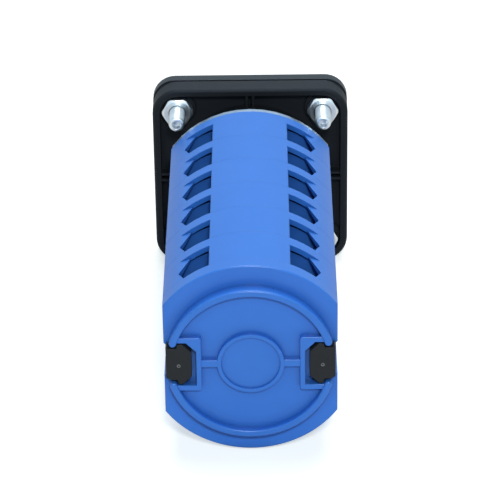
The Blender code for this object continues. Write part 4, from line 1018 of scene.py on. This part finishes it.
# Tie straps: tough black nylon, hooked into the indexing housing and snapped over the rear
# cover, one in each channel. Each head keeps the small mark of its moulding gate.
GATE_RADIUS = 0.00042
GATE_SHAPE = ((0, -0.0002), (1.0, -0.0002), (1.0, 0.00005), (0.7, 0.00012), (0.4, -0.00004),
              (0, -0.00004))
GATE_OFFSET = -0.0003
HEAD_HALF = 0.0051
HEAD_CHAMFER = 0.0020
NOTCH_INNER = 0.0164
NOTCH_OUTER = 0.0184
NOTCH = 0.0011
HEAD_THICK = 0.0020
strap_nylon = moulded_plastic("strap nylon", (0.0145, 0.0180, 0.0210), (0.021, 0.026, 0.030),
                              0.50, 0.40, gloss=0.25)
torn_nylon = moulded_plastic("torn nylon", (0.08, 0.085, 0.09), (0.30, 0.31, 0.32), 0.45, 0.60)
for side, sx in (("left", -1), ("right", 1)):
    low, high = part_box(f"tie_strap_{side}")
    reach = max(abs(low.x), abs(high.x))
    inner = min(abs(low.x), abs(high.x))
    head_low = high.y - HEAD_THICK
    band = merged_copy(f"tie_strap_{side}")
    bmesh.ops.bisect_plane(band, geom=band.verts[:] + band.edges[:] + band.faces[:],
                           plane_co=(0, head_low + HEAD_THICK / 3, 0), plane_no=(0, 1, 0),
                           clear_outer=True)
    bmesh.ops.holes_fill(band, edges=band.edges)
    bmesh.ops.recalc_face_normals(band, faces=band.faces)
    outline = [(inner + HEAD_CHAMFER, -HEAD_HALF), (NOTCH_INNER - 0.0004, -HEAD_HALF),
               (NOTCH_INNER, -HEAD_HALF + NOTCH), (NOTCH_OUTER - 0.0006, -HEAD_HALF + NOTCH),
               (reach, -HEAD_HALF + 2 * NOTCH),
               (reach, HEAD_HALF - 0.7 * NOTCH), (NOTCH_OUTER, HEAD_HALF - 0.2 * NOTCH),
               (NOTCH_OUTER - 0.0001, HEAD_HALF - NOTCH), (NOTCH_INNER, HEAD_HALF - NOTCH),
               (NOTCH_INNER - 0.0002, HEAD_HALF), (inner + HEAD_CHAMFER, HEAD_HALF),
               (inner, HEAD_HALF - HEAD_CHAMFER), (inner, -HEAD_HALF + HEAD_CHAMFER)]
    head = extruded(mirrored(outline, sx, 1), head_low, high.y)
    round_rim(head, high.y, 0.00018, 2)
    make_piece(f"tie_strap_moulding_{side}", joined(band, head), strap_nylon, "base",
               "strap_plastic", f"tie_strap_{side}")
    gate = turned([(GATE_RADIUS * part, high.y + rise) for part, rise in GATE_SHAPE], 20,
                  middle=(sx * (inner + reach) / 2, 0, GATE_OFFSET))
    make_piece(f"gate_mark_{side}", gate, torn_nylon, "base", "strap_plastic")

# Knob: black nylon skirt with a bar grip, screwed to the shaft's end. A white line inlaid in
# the grip points at the numerals.
KNOB_SKIRT = 0.0040
GRIP_HALF_WIDTH = 0.0046
GRIP_INSET = 0.0008
GRIP_NOSE = 0.0032
GRIP_TAPER = 0.90
GRIP_ROUND = 0.0007
SCREW_WELL = 0.0040
SCREW_CLEARANCE = 0.0017
SKIRT_SHAPE = ((0.0003, 0), (0, 0.0003), (0.0001, 0.0010), (0.0005, 0.0020), (0.0011, 0.0029),
               (0.0017, 0.0035), (0.0024, 0.0039), (0.0030, KNOB_SKIRT))
INLAY_HALF = 0.0005
INLAY_START = 0.0055
INLAY_END = 0.0118
INLAY_DEPTH = 0.0005
INLAY_FIT = 0.00003
CROSS_LENGTH = 0.0016
CROSS_WIDTH = 0.0004
CROSS_DEPTH = 0.0011
knob_low, knob_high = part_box("knob")
knob_radius = knob_high.x
skirt = [(knob_radius - inset, knob_high.y - depth) for inset, depth in SKIRT_SHAPE]
knob = turned([(0, knob_high.y), *skirt, (0, knob_high.y - KNOB_SKIRT)], 96)
grip = extruded(rounded_box(GRIP_HALF_WIDTH, knob_radius - GRIP_INSET, GRIP_NOSE, 8),
                knob_low.y, knob_high.y - KNOB_SKIRT / 2)
for vert in grip.verts:
    if vert.co.y < knob_low.y + PAST:
        vert.co.x *= GRIP_TAPER
        vert.co.z *= GRIP_TAPER
knob = combined(knob, round_rim(grip, knob_low.y, GRIP_ROUND, 4), "UNION")
knob = combined(knob, rod(SCREW_WELL, knob_low.y - PAST, knob_low.y + SCREW_WELL, 48))
socket_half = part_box("shaft")[1].x + LEGEND_ROOM
socket_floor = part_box("shaft")[0].y - LEGEND_ROOM
knob = combined(knob, extruded(rounded_box(socket_half, socket_half, SOFT, 2), socket_floor,
                               knob_high.y + PAST))
knob = combined(knob, rod(SCREW_CLEARANCE, knob_low.y, socket_floor + PAST, 24))
inlay_groove = rectangle((-INLAY_HALF, INLAY_START), (INLAY_HALF, INLAY_END))
knob = combined(knob, extruded(inlay_groove, knob_low.y - PAST,
                               knob_low.y + INLAY_DEPTH + INLAY_FIT))
make_piece("knob_moulding", knob, black_gloss_nylon, "rotor", "black_plastic", "knob")
white_inlay = moulded_plastic("white inlay", (0.70, 0.70, 0.68), (0.78, 0.78, 0.76), 0.45, 0.1)
fitted = rectangle((INLAY_FIT - INLAY_HALF, INLAY_START + INLAY_FIT),
                   (INLAY_HALF - INLAY_FIT, INLAY_END - INLAY_FIT))
inlay = extruded(fitted, knob_low.y + INLAY_FIT, knob_low.y + INLAY_DEPTH)
round_rim(inlay, knob_low.y + INLAY_FIT, 0.00008, 2)
make_piece("knob_pointer", inlay, white_inlay, "rotor", "black_plastic")
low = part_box("knob_screw")[0]
screw = merged_copy("knob_screw")
round_edges(screw, 0.0002)
for turned_by in (0, math.pi / 2):
    recess = extruded(rectangle((-CROSS_LENGTH, -CROSS_WIDTH), (CROSS_LENGTH, CROSS_WIDTH)),
                      low.y - PAST, low.y + CROSS_DEPTH)
    bmesh.ops.rotate(recess, verts=recess.verts, matrix=Matrix.Rotation(turned_by, 3, "Y"))
    screw = combined(screw, recess)
make_piece("knob_screw_cross", screw, zinc_plate, "rotor", "zinc", "knob_screw")
